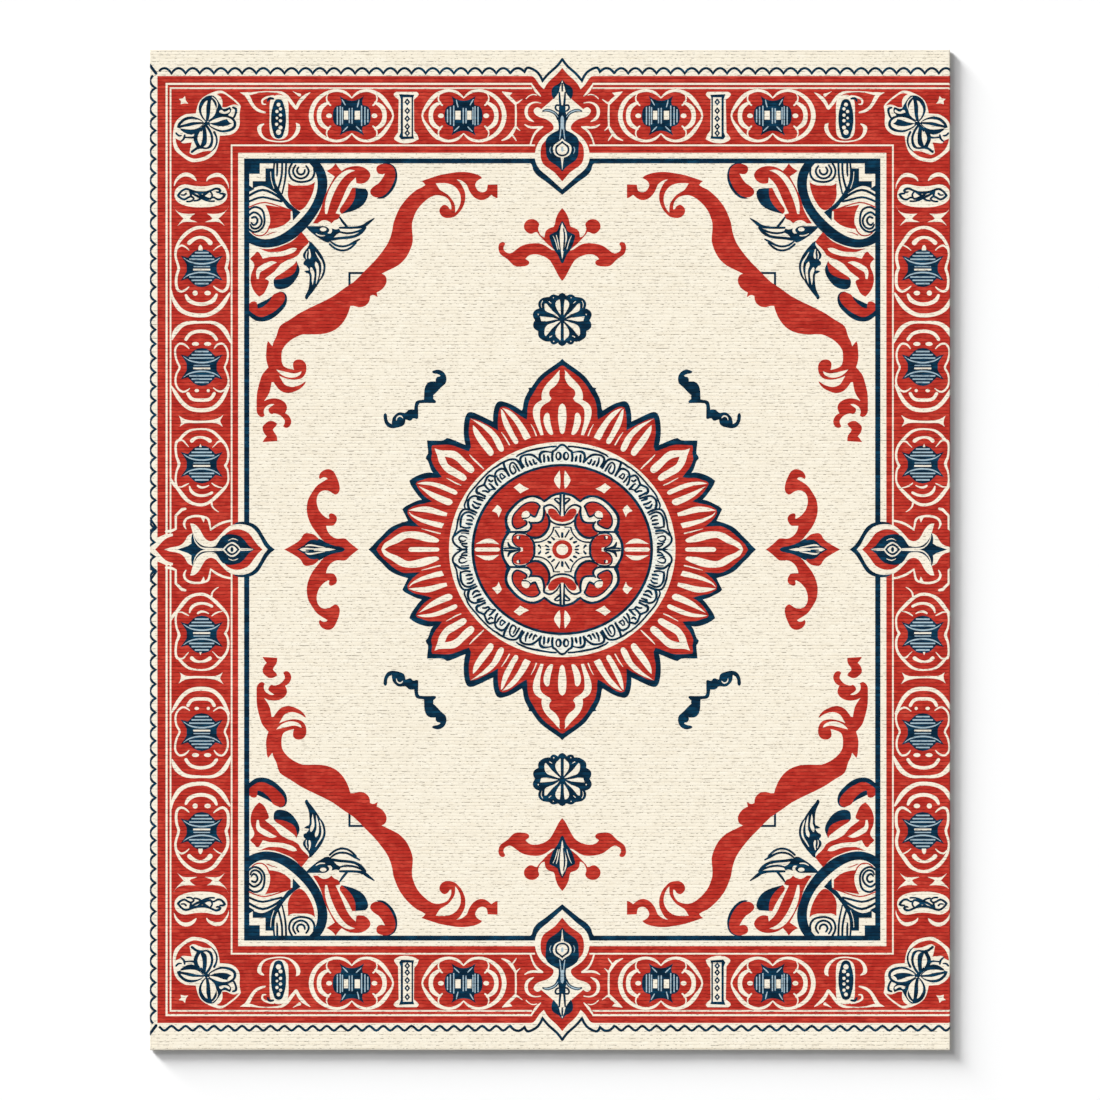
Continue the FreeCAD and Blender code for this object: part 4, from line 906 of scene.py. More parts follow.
def draw_disc():
    """The red disc and the four-lobed flower at the rug's centre."""
    lay("disc_red", ONCE, oval(0, 0, 268, 253))
    lay("disc_cream", FOUR, *shapes(
        "130.5 202*, 118 193, 101 185*, 116 178, 128 171*, 137 180, 148 189*, 138 196",
        "198 136*, 190 130, 184 121*, 188 112, 194 98*, 199 110, 214 117*, 205 127",
        "264 17*, 248 26, 238 31, 224 33, 212 31, 202 24, 192 16*, 209 18, 228 19, 248 18",
        "8 241*, 16 230, 22 221, 25 210, 20 199, 15 191, 8 185*, 6 197, 6 224"))
    lay("disc_cream", SIDES, half("267 0*, 264 5, 250 6, 228 6, 205 6, 192 5, 189 0*", 1))
    lay("disc_navy", ONCE, four_ways(
        "187 0, 186 14, 182 28, 175 42, 167 55*, 171 62, 174 78, 175 95, 170 111, 159 125, 145 140, "
        "127 154, 110 162, 92 165, 78 164, 66 159, 56 150*, 46 157, 36 165, 20 171, 0 175"))
    lay("disc_cream", ONCE, four_ways(
        "179 0, 178 14, 174 28, 167 40, 158 52*, 157 60*, 164 73, 167 87, 164 103, 154 118, 140 134, "
        "124 147, 106 156, 90 159, 75 155, 64 150, 55 143*, 46 148, 32 159, 16 165, 0 168"))
    lay("disc_red", FOUR, *shapes(
        "68.5 131*, 74 138, 83 142, 96 143, 110 140, 124 131, 136 118.5, 147 104, 151 88, 149 74, 140 65, "
        "129 66.5, 117 72, 109 78, 109 84, 117 90*, 122 96, 124 103, 120 112, 110 118, 101 114*, 97 109, "
        "92 104, 84 101, 79 107, 74 120", "55 128*, 54 112, 57 100, 62 88, 70 82, 84 80, 93 80*, 94 70, "
        "99 60, 108 50, 108 44*, 96 38, 82 36, 66 41, 55 49, 46 60, 40 73, 39 88, 46 106, 50 118*"))
    lay("disc_navy", FOUR, *strokes(
        "68 132 4, 74 139 4, 83 143.5 3, 96 144.5 3, 110 141 3, 124 132 3, 137 119 3, 148.5 104 3, "
        "152.5 88 3, 150 73 4, 140 63.5 4, 129 65 4, 117 71 4, 109 77 4, 108 84 4, 114 89 3",
        "102 111 4, 92 103 5, 83 100 5, 78 107 4, 73 120 4, 68 131 5",
        "121 95 3, 112 95 3, 104 98 3, 99 102 3",
        "170 53 6, 150 53.5 5, 130 54 5, 108 54.5 5, 99 60 5, 94 70 6, 96 78 5, 101 84 4",
        "98 81 5, 84 81 5, 70 82.5 5, 62 88 6, 57 100 6, 55 115 6, 56 128 5",
        "46 107 5, 41 98 6, 39.5 88 6, 40 73 6, 46 59 6, 55 47 7, 66 39 6, 82 35 6, 96 38 5, 107 44 4",
        "55 130 5, 46 134.5 5, 37 136 5, 28 133 4, 20 127 4, 12 117 3, 7 106 2",
        "46 107 3, 42 97 3, 34 86 4, 20 78 4, 9 75.5 5, 0 75 5", "5 165 6, 5.5 140 5, 6 105 3",
        "23 152 4, 15 145 5, 7 138 5", "22 155 3, 14 156 3, 6 152 4",
        "165 21 3, 163 14 6, 158 8 7, 148 5 5, 135 3 3", "176 3 4, 165 4 4, 150 3 3, 128 2 3",
        "85 0 6, 85 12 6, 89 25 5, 97 36 4",
        "104 42 3, 110 47 3, 120 49 3, 135 50 3, 148 44 3, 152 33 3, 150 22 3, 142 12 3, 130 6 2",
        "82 22 4, 64 24 3, 50 30 3, 38 41 3, 30 53 3, 26 67 4", "21 58 3, 15 48 4, 9 38 3",
        "1 50 4, 1 38 4", "32 37 3, 25 31 5", "43 24 4, 36 21.5 6", "50 12 4, 42 8 4",
        "71 12 6, 67 8 4, 66 4 2", "48 0 4, 40 0 4", "22 68 2, 8 68 2"))
    lay("disc_red", ENDS, half(
        "0 101*, 8 104, 13 111, 20 120, 30 125, 39 124, 44 115, 39 103, 29 92, 15 86, 0 83*", 0))
    lay("disc_red", SIDES, half(
        "89 0*, 90 18, 96 30, 106 41, 117 45, 134 46, 146 42, 150 33, 148 23, 141 14, 129 7, 120 5*, "
        "120 0*", 1))
    lay("disc_cream", FOUR, oval(111, 107, 12, 9.5), oval(134.5, 37, 4.5, 5))
    lay("disc_navy", FOUR, stroke("129 40 2, 130 36 4, 131 32 2"))
    lay("disc_red", ONCE, oval(0, 0, 31, 29))
    lay("disc_cream", ONCE, oval(0, 0, 18, 17))


def draw_pattern():
    draw_bands()
    draw_scallops()
    draw_end_ogee()
    draw_end_ogee_sprays()
    draw_side_ogee()
    draw_corner_flower()
    draw_cartouches()
    draw_end_roundels()
    draw_side_roundels()
    draw_side_capsule()
    draw_field_fans()
    draw_field_branches()
    draw_field_commas()
    draw_field_scroll()
    draw_field_squiggle()
    draw_field_roundels()
    draw_palmettes()
    draw_star()
    draw_lace()
    draw_disc()


# ---------------------------------------------------------------- parting the face along the outlines
def rib_lines():
    """Points and lines of the ribs: each rib's valley, and a shoulder RIB_HALF_GAP to either side.

    The valleys have points RIB_STEPS apart, each with its own depth, so that the gaps between ribs open
    and close along them. The shoulders have every fourth of them. Returns points, edges, and the
    valleys' keys and depths for np.interp.
    """
    random = np.random.default_rng(SEED)
    count = int(2 * FACE_Y // RIB)
    first = -count * RIB / 2
    steps = random.uniform(*RIB_STEPS, (count + 1, RIB_POINTS))
    along = np.cumsum(steps, 1)
    along = along / along[:, -1:] * (2 * FACE_X + 40) - FACE_X - 20
    is_open = random.random((count + 1, RIB_POINTS)) < OPEN_SHARE
    open_depth = random.uniform(*OPEN_DEPTHS, is_open.shape)
    depth = np.where(is_open, open_depth, random.uniform(*SHUT_DEPTHS, is_open.shape))
    clear = np.abs(along) < FACE_X - 2
    rib = np.repeat(np.arange(count + 1), RIB_POINTS).reshape(along.shape)
    points, edges = [], []
    start = 0
    for offset in (0.0, -RIB_HALF_GAP, RIB_HALF_GAP):
        keep = clear & ((offset == 0.0) | (np.arange(RIB_POINTS) % 4 == 0))
        x, r = along[keep], rib[keep]
        y = first + r * RIB + offset
        ok = np.abs(y) < FACE_Y - 0.3
        x, y, r = x[ok], y[ok], r[ok]
        lines = np.unique(r)
        for side in (-FACE_X, FACE_X):
            points.append(np.stack([np.full(len(lines), side), first + lines * RIB + offset], 1))
        points.append(np.stack([x, y], 1))
        line = np.concatenate([lines, lines, r])
        place = np.concatenate([np.full(len(lines), -FACE_X), np.full(len(lines), FACE_X), x])
        order = np.lexsort((place, line))
        same = line[order][1:] == line[order][:-1]
        edges.append(np.stack([order[:-1][same], order[1:][same]], 1) + start)
        start += len(line)
    keys = (rib * 1e5 + along).ravel()
    return np.vstack(points), np.vstack(edges), (first, count, keys, depth.ravel())


def gap_at(xy, ribs):
    """How open the gap is at each point, 0 to 1: the valley's depth there, falling to 0 at the shoulders."""
    first, count, keys, depth = ribs
    rib = np.rint((xy[:, 1] - first) / RIB).clip(0, count)
    away = np.abs(xy[:, 1] - first - rib * RIB) / RIB_HALF_GAP
    deep = np.interp(rib * 1e5 + xy[:, 0], keys, depth)
    return (1 - away).clip(0) * deep


def inside(points, outline):
    """True for the points that the outline winds round, whichever way."""
    wound = np.zeros(len(points), bool)
    low, high = outline.min(0), outline.max(0)
    near = np.flatnonzero(((points >= low) & (points <= high)).all(1))
    a, b = outline, np.roll(outline, -1, 0)
    for part in np.array_split(near, max(1, len(near) * len(a) // AT_ONCE)):
        x, y = points[part, 0][:, None], points[part, 1][:, None]
        up = (a[:, 1] <= y) & (b[:, 1] > y)
        down = (a[:, 1] > y) & (b[:, 1] <= y)
        side = (b[:, 0] - a[:, 0]) * (y - a[:, 1]) - (x - a[:, 0]) * (b[:, 1] - a[:, 1])
        wound[part] = (np.sum(up & (side > 0), 1) - np.sum(down & (side < 0), 1)) != 0
    return wound


def top_layer(points):
    """Number of the last-laid outline over each point."""
    top = np.zeros(len(points), int)
    for number, (_, outline) in enumerate(placed):
        top[inside(points, outline)] = number
    return top


def triangulated(points, edges):
    """Flat triangles that keep every edge: their corner places, and the corners' numbers."""
    verts, _, faces, _, _, _ = delaunay_2d_cdt(points.tolist(), edges.tolist(), [], 0, SAME_POINT, False)
    flat = np.array([(v[0], v[1]) for v in verts])
    tri = np.array(faces, int)
    a, b, c = flat[tri[:, 0]], flat[tri[:, 1]], flat[tri[:, 2]]
    area = (b[:, 0] - a[:, 0]) * (c[:, 1] - a[:, 1]) - (b[:, 1] - a[:, 1]) * (c[:, 0] - a[:, 0])
    tri = np.where((area < 0)[:, None], tri[:, ::-1], tri)[np.abs(area) > NO_AREA]
    return flat, tri


def face_edges():
    """Every outline's points and edges on the flat face, with the face's own rectangle and the ribs."""
    points, edges = [box(-FACE_X, -FACE_Y, FACE_X, FACE_Y)], [np.array([[0, 1], [1, 2], [2, 3], [3, 0]])]
    start = 4
    for _, outline in placed:
        number = np.arange(len(outline))
        pair = np.stack([number, np.roll(number, -1)], 1)
        beyond = np.abs(outline) > (FACE_X, FACE_Y)
        side = np.sign(outline) * beyond
        pair = pair[~((side[pair[:, 0]] == side[pair[:, 1]]) & (side[pair[:, 0]] != 0)).any(1)]
        points.append(outline)
        edges.append(pair + start)
        start += len(outline)
    rib_points, rib_edges, ribs = rib_lines()
    points.append(rib_points)
    edges.append(rib_edges + start)
    points = np.vstack(points)
    edges = np.vstack(edges)
    used, edges = np.unique(edges, return_inverse=True)
    return points[used], edges.reshape(-1, 2), ribs


def rim(tri):
    """The directed edges that only one of the triangles has."""
    pair = np.vstack([tri[:, [0, 1]], tri[:, [1, 2]], tri[:, [2, 0]]])
    size = tri.max() + 1
    key = pair[:, 0] * size + pair[:, 1]
    twin = pair[:, 1] * size + pair[:, 0]
    return pair[~np.isin(key, twin)]


def mesh_piece(name, verts, faces, material, tint=None, smooth_shade=False):
    """A mesh object from millimetre vertices and arrays of faces, on the root body. tint: vertex colours."""
    mesh = bpy.data.meshes.new(name)
    sizes = np.concatenate([np.full(len(f), f.shape[1]) for f in faces])
    loops = np.concatenate([f.ravel() for f in faces]).astype(np.int32)
    mesh.vertices.add(len(verts))
    mesh.vertices.foreach_set("co", (verts * 0.001).astype(np.float32).ravel())
    mesh.loops.add(len(loops))
    mesh.loops.foreach_set("vertex_index", loops)
    mesh.polygons.add(len(sizes))
    mesh.polygons.foreach_set("loop_start", (np.cumsum(sizes) - sizes).astype(np.int32))
    mesh.update(calc_edges=True)
    mesh.polygons.foreach_set("use_smooth", np.full(len(sizes), smooth_shade))
    if tint is not None:
        colour = np.hstack([tint, np.ones((len(tint), 1))]).astype(np.float32)
        mesh.attributes.new("tint", "FLOAT_COLOR", "POINT").data.foreach_set("color", colour.ravel())
    mesh.validate()
    piece = bpy.data.objects.new(name, mesh)
    bpy.context.collection.objects.link(piece)
    piece.data.materials.append(material)
    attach(piece, "root")
    return piece


def make_face():
    """One closed solid per yarn of each part of the pattern: ribbed top, upright rim, flat base."""
    points, edges, ribs = face_edges()
    flat, tri = triangulated(points, edges)
    middle = flat[tri].mean(1)
    on_face = (np.abs(middle) < (FACE_X, FACE_Y)).all(1)
    tri, middle = tri[on_face], middle[on_face]
    names = sorted({piece for piece, _ in placed})
    of_layer = np.array([names.index(piece) for piece, _ in placed])
    yarn = of_layer[top_layer(middle)]
    rims = [rim(tri[yarn == k]) for k in range(len(names))]
    all_rims = np.vstack(rims)
    shared, rim_edges = np.unique(np.sort(all_rims, 1), return_inverse=True)
    rim_edges = np.unique(rim_edges.reshape(-1, 2), axis=0)
    base_flat, base_tri = triangulated(flat[shared], rim_edges)
    base_yarn = of_layer[top_layer(base_flat[base_tri].mean(1))]
    matched = len(base_flat) == len(shared) and np.abs(base_flat - flat[shared]).max() < 0.01
    if not matched:
        raise RuntimeError("the base's corners aren't the rim's: %d and %d" % (len(base_flat), len(shared)))
    height = THICK - GAP_SHALLOW
    gap = gap_at(flat, ribs)
    made = {}
    for k, name in enumerate(names):
        top = tri[yarn == k]
        base = shared[base_tri[base_yarn == k]]
        rim_pair = rims[k]
        used, index = np.unique(np.concatenate([top.ravel(), base.ravel(), rim_pair.ravel()]),
            return_inverse=True)
        low = len(used)
        top = index[:top.size].reshape(-1, 3)
        base = index[top.size:top.size + base.size].reshape(-1, 3)[:, ::-1] + low
        a, b = index[-rim_pair.size:].reshape(-1, 2).T
        wall = np.stack([a + low, b + low, b, a], 1)
        on_rim = np.unique(index[-rim_pair.size:])
        z = height - gap[used] * GAP_DEPTH
        verts = np.vstack([np.column_stack([flat[used], z]), np.column_stack([flat[used], np.full(low,
            FACE_BASE)])])
        keep = np.ones(len(verts), bool)
        keep[low:] = False
        keep[low + on_rim] = True
        number = np.cumsum(keep) - 1
        faces = [number[top], number[wall], number[base]]
        colour = name.split("_")[1]
        piece = mesh_piece(name, verts[keep], faces, MATERIALS["cool" if name in COOL else colour])
        if name in STANDS_FOR:
            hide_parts(STANDS_FOR[name])
        made[name] = piece
    return made


# ---------------------------------------------------------------- materials
class Nodes:
    """A material's nodes, added one at a time, each joined to what is given for its sockets."""

    def __init__(self, name):
        self.material = bpy.data.materials.new(name)
        self.material.use_nodes = True
        self.tree = self.material.node_tree
        self.shader = self.tree.nodes["Principled BSDF"]
        self.place = self.add("ShaderNodeTexCoord").outputs["Object"]

    def add(self, kind, inputs=(), **settings):
        node = self.tree.nodes.new(kind)
        for key, value in settings.items():
            setattr(node, key, value)
        for key, value in dict(inputs).items():
            self.put(node.inputs[key], value)
        return node

    def put(self, socket, value):
        if isinstance(value, bpy.types.NodeSocket):
            self.tree.links.new(value, socket)
        else:
            socket.default_value = value

    def sum(self, operation, *values):
        node = self.add("ShaderNodeMath", operation=operation)
        for number, value in enumerate(values):
            self.put(node.inputs[number], value)
        return node.outputs[0]

    def noise(self, scale, detail=2.0, stretch=(1, 1, 1), shift=0.0):
        """Noise from 0 to 1, its grains 1 / scale metres across, divided by `stretch` along each axis."""
        place = self.add("ShaderNodeMapping", {"Vector": self.place, "Scale": stretch, "Location": (shift,
            0, 0)})
        inputs = {"Vector": place.outputs[0], "Scale": scale, "Detail": detail, "Roughness": 0.55}
        return self.add("ShaderNodeTexNoise", inputs).outputs[0]

    def ramp(self, value, low, high, start=0.0, end=1.0):
        """`value` from low to high, made start to end and held there."""
        node = self.add("ShaderNodeMapRange", {"Value": value, 1: low, 2: high, 3: start, 4: end})
        return node.outputs[0]

    def mix(self, amount, first, second):
        node = self.add("ShaderNodeMix", data_type="RGBA")
        self.put(node.inputs[0], amount)
        for socket, value in ((node.inputs[6], first), (node.inputs[7], second)):
            self.put(socket, value if isinstance(value, bpy.types.NodeSocket) else (*value, 1.0))
        return node.outputs[2]

    def attribute(self, name):
        return self.add("ShaderNodeAttribute", attribute_name=name).outputs

    def across(self, axis):
        return self.add("ShaderNodeSeparateXYZ", {0: self.place}).outputs[axis]

    def finish(self, colour, height, distance, roughness, strength=1.0):
        self.put(self.shader.inputs["Base Color"], colour)
        self.put(self.shader.inputs["Roughness"], roughness)
        self.put(self.shader.inputs["Specular IOR Level"], 0.08)
        bump = self.add("ShaderNodeBump", {"Height": height, "Distance": distance, "Strength": strength})
        self.put(self.shader.inputs["Normal"], bump.outputs[0])
        return self.material


def yarn_height(n):
    """Pile height, 0 to 1: |sin| across each rib, dimpled where the loops meet, and roughened by fibres.

    Loops stand LOOP apart along a rib; alternate ribs are shifted by half a loop. Valleys are where the
    rib number is whole. Returns the height, its three parts, and the rib number.
    """
    count = int(2 * FACE_Y // RIB)
    rib = n.sum("DIVIDE", n.sum("ADD", n.across(1), count * RIB / 2000), RIB / 1000)
    wobble = n.sum("MULTIPLY", n.sum("SUBTRACT", n.noise(40, 2, (1, 1, 1)), 0.5), 0.7)
    rib = n.sum("ADD", rib, wobble)
    round_rib = n.sum("POWER", n.sum("ABSOLUTE", n.sum("SINE", n.sum("MULTIPLY", rib, np.pi))), 0.6)
    odd = n.sum("MULTIPLY", n.sum("FLOOR", rib), 0.5)
    jitter = n.sum("MULTIPLY", n.noise(90, 1, (1, 1, 1), 3.0), 1.2)
    loop = n.sum("ADD", n.sum("ADD", n.sum("DIVIDE", n.across(0), LOOP / 1000), odd), jitter)
    round_loop = n.sum("POWER", n.sum("ABSOLUTE", n.sum("SINE", n.sum("MULTIPLY", loop, np.pi))), 0.5)
    fibres = n.noise(1500, 3, (0.5, 1, 1))
    both = n.sum("MULTIPLY", round_rib, n.sum("MULTIPLY_ADD", round_loop, 0.35, 0.65))
    return n.sum("MULTIPLY_ADD", fibres, 0.22, both), round_rib, round_loop, fibres, rib


def along_rib(n, number, per_metre, apart):
    """Noise from 0 to 1 along each rib, on its own row for every whole `number`."""
    place = n.add("ShaderNodeCombineXYZ")
    n.put(place.inputs[0], n.sum("MULTIPLY", n.across(0), per_metre))
    n.put(place.inputs[1], n.sum("MULTIPLY", number, apart))
    inputs = {"Vector": place.outputs[0], "Scale": 1.0, "Detail": 2.0, "Roughness": 0.6}
    return n.add("ShaderNodeTexNoise", inputs).outputs[0]


def yarn(name, colour, shade, light, painted_shade_colour, amounts):
    """Tufted yarn: its colour streaked along the ribs, with painted shade in a dark line along each valley,
    in short darker dashes where the ribs part and on the crests, and where the loops meet.

    amounts: of shade and of light streaks, of the painted shade line in every valley, and of the painted
    shade dashes in it.
    """
    n = Nodes(name)
    shade_amount, light_amount, line_amount, dash_amount = amounts
    height, round_rib, round_loop, fibres, rib = yarn_height(n)
    own = n.sum("FLOOR", rib)
    streak = n.ramp(along_rib(n, own, 14, 3.7), 0.42, 0.62)
    light_streak = n.ramp(along_rib(n, own, 20, 5.1), 0.46, 0.66)
    broad = n.ramp(n.noise(9, 2, (1, 1, 1), 9.0), 0.35, 0.65)
    grain = n.ramp(n.noise(330, 2, (0.35, 1, 1)), 0.42, 0.66)
    tone = n.mix(n.sum("MULTIPLY", streak, shade_amount), colour, shade)
    tone = n.mix(n.sum("MULTIPLY", light_streak, light_amount), tone, light)
    tone = n.mix(n.sum("MULTIPLY", broad, 0.06), tone, shade)
    tone = n.mix(n.sum("MULTIPLY", grain, 0.26), tone, shade)
    tone = n.mix(n.sum("MULTIPLY", n.ramp(fibres, 0.4, 0.7), 0.15), tone, shade)
    # Painted shade where the loops meet along each rib.
    tone = n.mix(n.ramp(round_loop, 0.2, 0.6, 0.16, 0.0), tone, painted_shade_colour)
    # Painted shade between the ribs: a dark line in every valley, darker dashes where the gap opens, and
    # dark dashes along the crests.
    valley = n.ramp(round_rib, 0.22, 0.60, 1.0, 0.0)
    dash = n.ramp(along_rib(n, n.sum("ROUND", rib), 75, 7.3), 0.50, 0.60)
    dark = n.sum("MULTIPLY", valley, n.sum("MULTIPLY_ADD", dash, dash_amount, line_amount))
    crest = n.ramp(round_rib, 0.97, 1.0)
    crest_shade_dash = n.ramp(along_rib(n, n.sum("ADD", own, 0.5), 95, 9.1), 0.55, 0.64)
    dark = n.sum("MAXIMUM", dark, n.sum("MULTIPLY", n.sum("MULTIPLY", crest, crest_shade_dash), dash_amount * 0.55))
    tone = n.mix(dark, tone, painted_shade_colour)
    return n.finish(tone, height, 0.0007, n.ramp(streak, 0, 1, 0.88, 0.97), 0.6)


def cloth(name, colour, shade, thread, depth, roughness=0.9, tint=False):
    """Plain weave: each thread rises over one and dips under the next, sin x times sin y."""
    n = Nodes(name)
    place = [n.sum("MULTIPLY", n.across(axis), np.pi / thread) for axis in (0, 1)]
    over = n.sum("MULTIPLY", n.sum("SINE", place[0]), n.sum("SINE", place[1]))
    ridge = n.sum("MAXIMUM", n.sum("ABSOLUTE", n.sum("SINE", place[0])), n.sum("ABSOLUTE", n.sum("SINE",
        place[1])))
    fibres = n.noise(2200, 3)
    slub = n.ramp(n.noise(140, 2, (1, 0.12, 1)), 0.4, 0.7)
    height = n.sum("ADD", n.sum("MULTIPLY", over, 0.35), n.sum("MULTIPLY_ADD", fibres, 0.4, ridge))
    base = n.attribute("tint")["Color"] if tint else colour
    if tint:
        shade = n.mix(0.4, base, (0.03, 0.02, 0.015))
    tone = n.mix(n.ramp(over, -1, 1, 0.0, 0.3), base, shade)
    tone = n.mix(n.sum("MULTIPLY", slub, 0.25), tone, shade)
    tone = n.mix(n.sum("MULTIPLY", n.ramp(fibres, 0.35, 0.7), 0.2), tone, shade)
    tone = n.mix(n.ramp(n.noise(6, 2), 0.35, 0.65, 0.0, 0.15), tone, shade)
    return n.finish(tone, height, depth, roughness, 0.6)


def felt(name, colour, shade):
    """Needled felt: short fibres every way, from two stretched noises, with paler and darker flecks."""
    n = Nodes(name)
    one = n.noise(900, 3, (0.25, 1, 1))
    other = n.noise(900, 3, (1, 0.25, 1), 4.0)
    fleck = n.ramp(n.noise(420, 1), 0.62, 0.7)
    tone = n.mix(n.ramp(n.sum("MAXIMUM", one, other), 0.4, 0.75), colour, shade)
    tone = n.mix(n.sum("MULTIPLY", fleck, 0.5), tone, shade)
    return n.finish(tone, n.sum("ADD", one, other), 0.0006, 0.97, 0.7)


def rubber(name, colour, shade):
    """Spread latex: low lumps and fine pores."""
    n = Nodes(name)
    lumps = n.noise(120, 2)
    pores = n.noise(1400, 1)
    tone = n.mix(n.ramp(lumps, 0.35, 0.65), colour, shade)
    tone = n.mix(n.ramp(pores, 0.6, 0.75, 0.0, 0.4), tone, shade)
    return n.finish(tone, n.sum("MULTIPLY_ADD", pores, 0.3, lumps), 0.0004, n.ramp(lumps, 0.3, 0.7, 0.5,
        0.7), 0.6)


def thread(name, colour, shade):
    """Sewing thread: its plies are slanting lines, a sine of x + y + z, with painted shade in the grooves
    between them.
    """
    n = Nodes(name)
    slant = n.sum("ADD", n.sum("ADD", n.across(0), n.across(1)), n.across(2))
    ply = n.sum("SINE", n.sum("MULTIPLY", slant, 2 * np.pi / 0.0006))
    fibres = n.noise(3000, 2)
    # Painted shade in the grooves between the plies.
    tone = n.mix(n.ramp(ply, -1, 0.4, 0.5, 0.0), colour, shade)
    tone = n.mix(n.ramp(fibres, 0.4, 0.7, 0.0, 0.3), tone, shade)
    return n.finish(tone, n.sum("MULTIPLY_ADD", fibres, 0.4, ply), 0.0001, 0.6, 0.6)


def plain(name, colour):
    """A matt plain colour, for the floor."""
    n = Nodes(name)
    n.put(n.shader.inputs["Base Color"], (*colour, 1.0))
    n.put(n.shader.inputs["Roughness"], 0.9)
    n.put(n.shader.inputs["Specular IOR Level"], 0.1)
    return n.material


def make_materials():
    # Each yarn's fourth colour is its painted shade, laid into the valleys, the dashes, the crests and where
    # the loops meet.
    made = {
        "cream": yarn("cream_yarn", COLOURS["cream"], (0.74, 0.66, 0.52), (0.93, 0.88, 0.76),
                      (0.16, 0.13, 0.095), (0.25, 0.45, 0.06, 0.85)),
        "cool": yarn("cool_cream_yarn", COLOURS["cool"], (0.70, 0.69, 0.60), (0.89, 0.90, 0.82),
                     (0.13, 0.14, 0.14), (0.25, 0.45, 0.06, 0.85)),
        "red": yarn("red_yarn", COLOURS["red"], (0.27, 0.012, 0.009), (0.74, 0.090, 0.055),
                    (0.055, 0.004, 0.004), (0.42, 0.50, 0.62, 0.35)),
        "navy": yarn("navy_yarn", COLOURS["navy"], (0.001, 0.008, 0.016), (0.006, 0.085, 0.17),
                     (0.001, 0.004, 0.008), (0.5, 0.5, 0.60, 0.35)),
        "steel": yarn("steel_yarn", COLOURS["steel"], (0.26, 0.36, 0.42), (0.52, 0.64, 0.68),
                      (0.05, 0.08, 0.10), (0.25, 0.45, 0.06, 0.85)),
        "tape": cloth("hem_tape", TAPE, (0.50, 0.43, 0.31), 0.0012, 0.0003, 0.9, True),
        "backing": cloth("backing_cloth", (0.62, 0.55, 0.42), (0.44, 0.37, 0.26), 0.0022, 0.0005),
        "ground": cloth("ground_cloth", (0.55, 0.50, 0.40), (0.38, 0.33, 0.24), 0.0030, 0.0006),
        "label": cloth("label_cloth", (0.86, 0.86, 0.83), (0.70, 0.70, 0.68), 0.0004, 0.0001, 0.55),
        "felt": felt("cushion_felt", (0.34, 0.33, 0.32), (0.20, 0.19, 0.19)),
        "latex": rubber("latex_coat", (0.72, 0.68, 0.58), (0.58, 0.53, 0.43)),
        "thread": thread("sewing_thread", (0.80, 0.74, 0.60), (0.50, 0.45, 0.34)),
        "floor": plain("pale_floor", FLOOR),
    }
    return made


# ---------------------------------------------------------------- hem, stitches and the layers below
def hem_profile():
    """The hem's section as inward distance t and height z: a half-round roll, then a flange under the rug.

    The roll is the circle (ROLL + ROLL cos a, ROLL + ROLL sin a) for a from 90 to 270 degrees. The flange
    has a groove for the seam thread.
    """
    a = np.radians(np.linspace(90, 270, ROLL_POINTS))
    roll = np.stack([ROLL + ROLL * np.cos(a), ROLL + ROLL * np.sin(a)], 1)
    flat = [(FLANGE_BEND, 0), (SEAM - GROOVE, 0), (SEAM - GROOVE, GROOVE), (SEAM + GROOVE, GROOVE),
        (SEAM + GROOVE, 0), (FLANGE, 0), (FLANGE, FLANGE_THICK), (ROLL, FLANGE_THICK)]
    return np.vstack([roll, flat])


def placed_at_side(side, along, t):
    """Rug x and y of a place `along` an edge and t in from it. side is left, right, near_end or far_end."""
    if side in ("left", "right"):
        return (HALF_X - t) * (-1 if side == "left" else 1), along
    return along, (HALF_Y - t) * (-1 if side == "near_end" else 1)


def make_hem(side, ribs):
    """One hem: its section carried along the edge, to 45 degree mitres, with the ribs wrapped over it."""
    end = HALF_Y if side in ("left", "right") else HALF_X
    profile = hem_profile()
    steps = int(2 * end / (RIB / 4)) // 2 * 2
    s = np.linspace(-end, end, steps + 1)
    t, z = profile[:, 0][:, None], profile[:, 1][:, None]
    inner = end - MITRE_REACH
    beyond = (np.abs(s) - inner).clip(0)
    along = np.sign(s) * (np.minimum(np.abs(s), inner) + beyond * (MITRE_REACH - t) / MITRE_REACH)
    x, y = placed_at_side(side, along, ROLL + 1.0)
    face = np.stack(np.broadcast_arrays(x, y), 2).reshape(-1, 2)
    gap = gap_at(face, ribs).reshape(along.shape)
    top = (z / THICK).clip(0, 1)
    on_roll = (np.arange(len(profile)) < ROLL_POINTS)[:, None]
    sunk = on_roll * (GAP_SHALLOW + gap * GAP_DEPTH * ROLL_GAP) * top
    out = (profile - (ROLL, ROLL)) / ROLL
    deep_t = np.where(on_roll, t - out[:, 0][:, None] * sunk, t)
    deep_z = np.where(on_roll, z - out[:, 1][:, None] * sunk, z)
    x, y = placed_at_side(side, along, deep_t)
    verts = np.stack(np.broadcast_arrays(x, y, deep_z), 2).reshape(-1, 3)
    plan = verts[:, :2].clip((-HALF_X + 0.3, -HALF_Y + 0.3), (HALF_X - 0.3, HALF_Y - 0.3))
    wrapped = np.repeat(np.arange(len(profile)) < YARN_ON_ROLL, len(s))
    yarns = np.array([COLOURS[piece.split("_")[1]] for piece, _ in placed])
    tint = np.broadcast_to(np.array(TAPE), (len(verts), 3)).copy()
    tint[wrapped] = yarns[top_layer(plan[wrapped])]
    rows, columns = along.shape
    number = np.arange(rows * columns).reshape(rows, columns)
    after = np.roll(number, -1, 0)
    faces = np.stack([number[:, :-1], after[:, :-1], after[:, 1:], number[:, 1:]], 2).reshape(-1, 4)
    caps = np.stack([number[::-1, 0], number[:, -1]])
    if side in ("right", "near_end"):
        faces, caps = faces[:, ::-1], caps[:, ::-1]
    piece = mesh_piece("hem_edge_" + side, verts, [faces, caps], MATERIALS["tape"], tint, True)
    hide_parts("hem_" + side)
    return piece


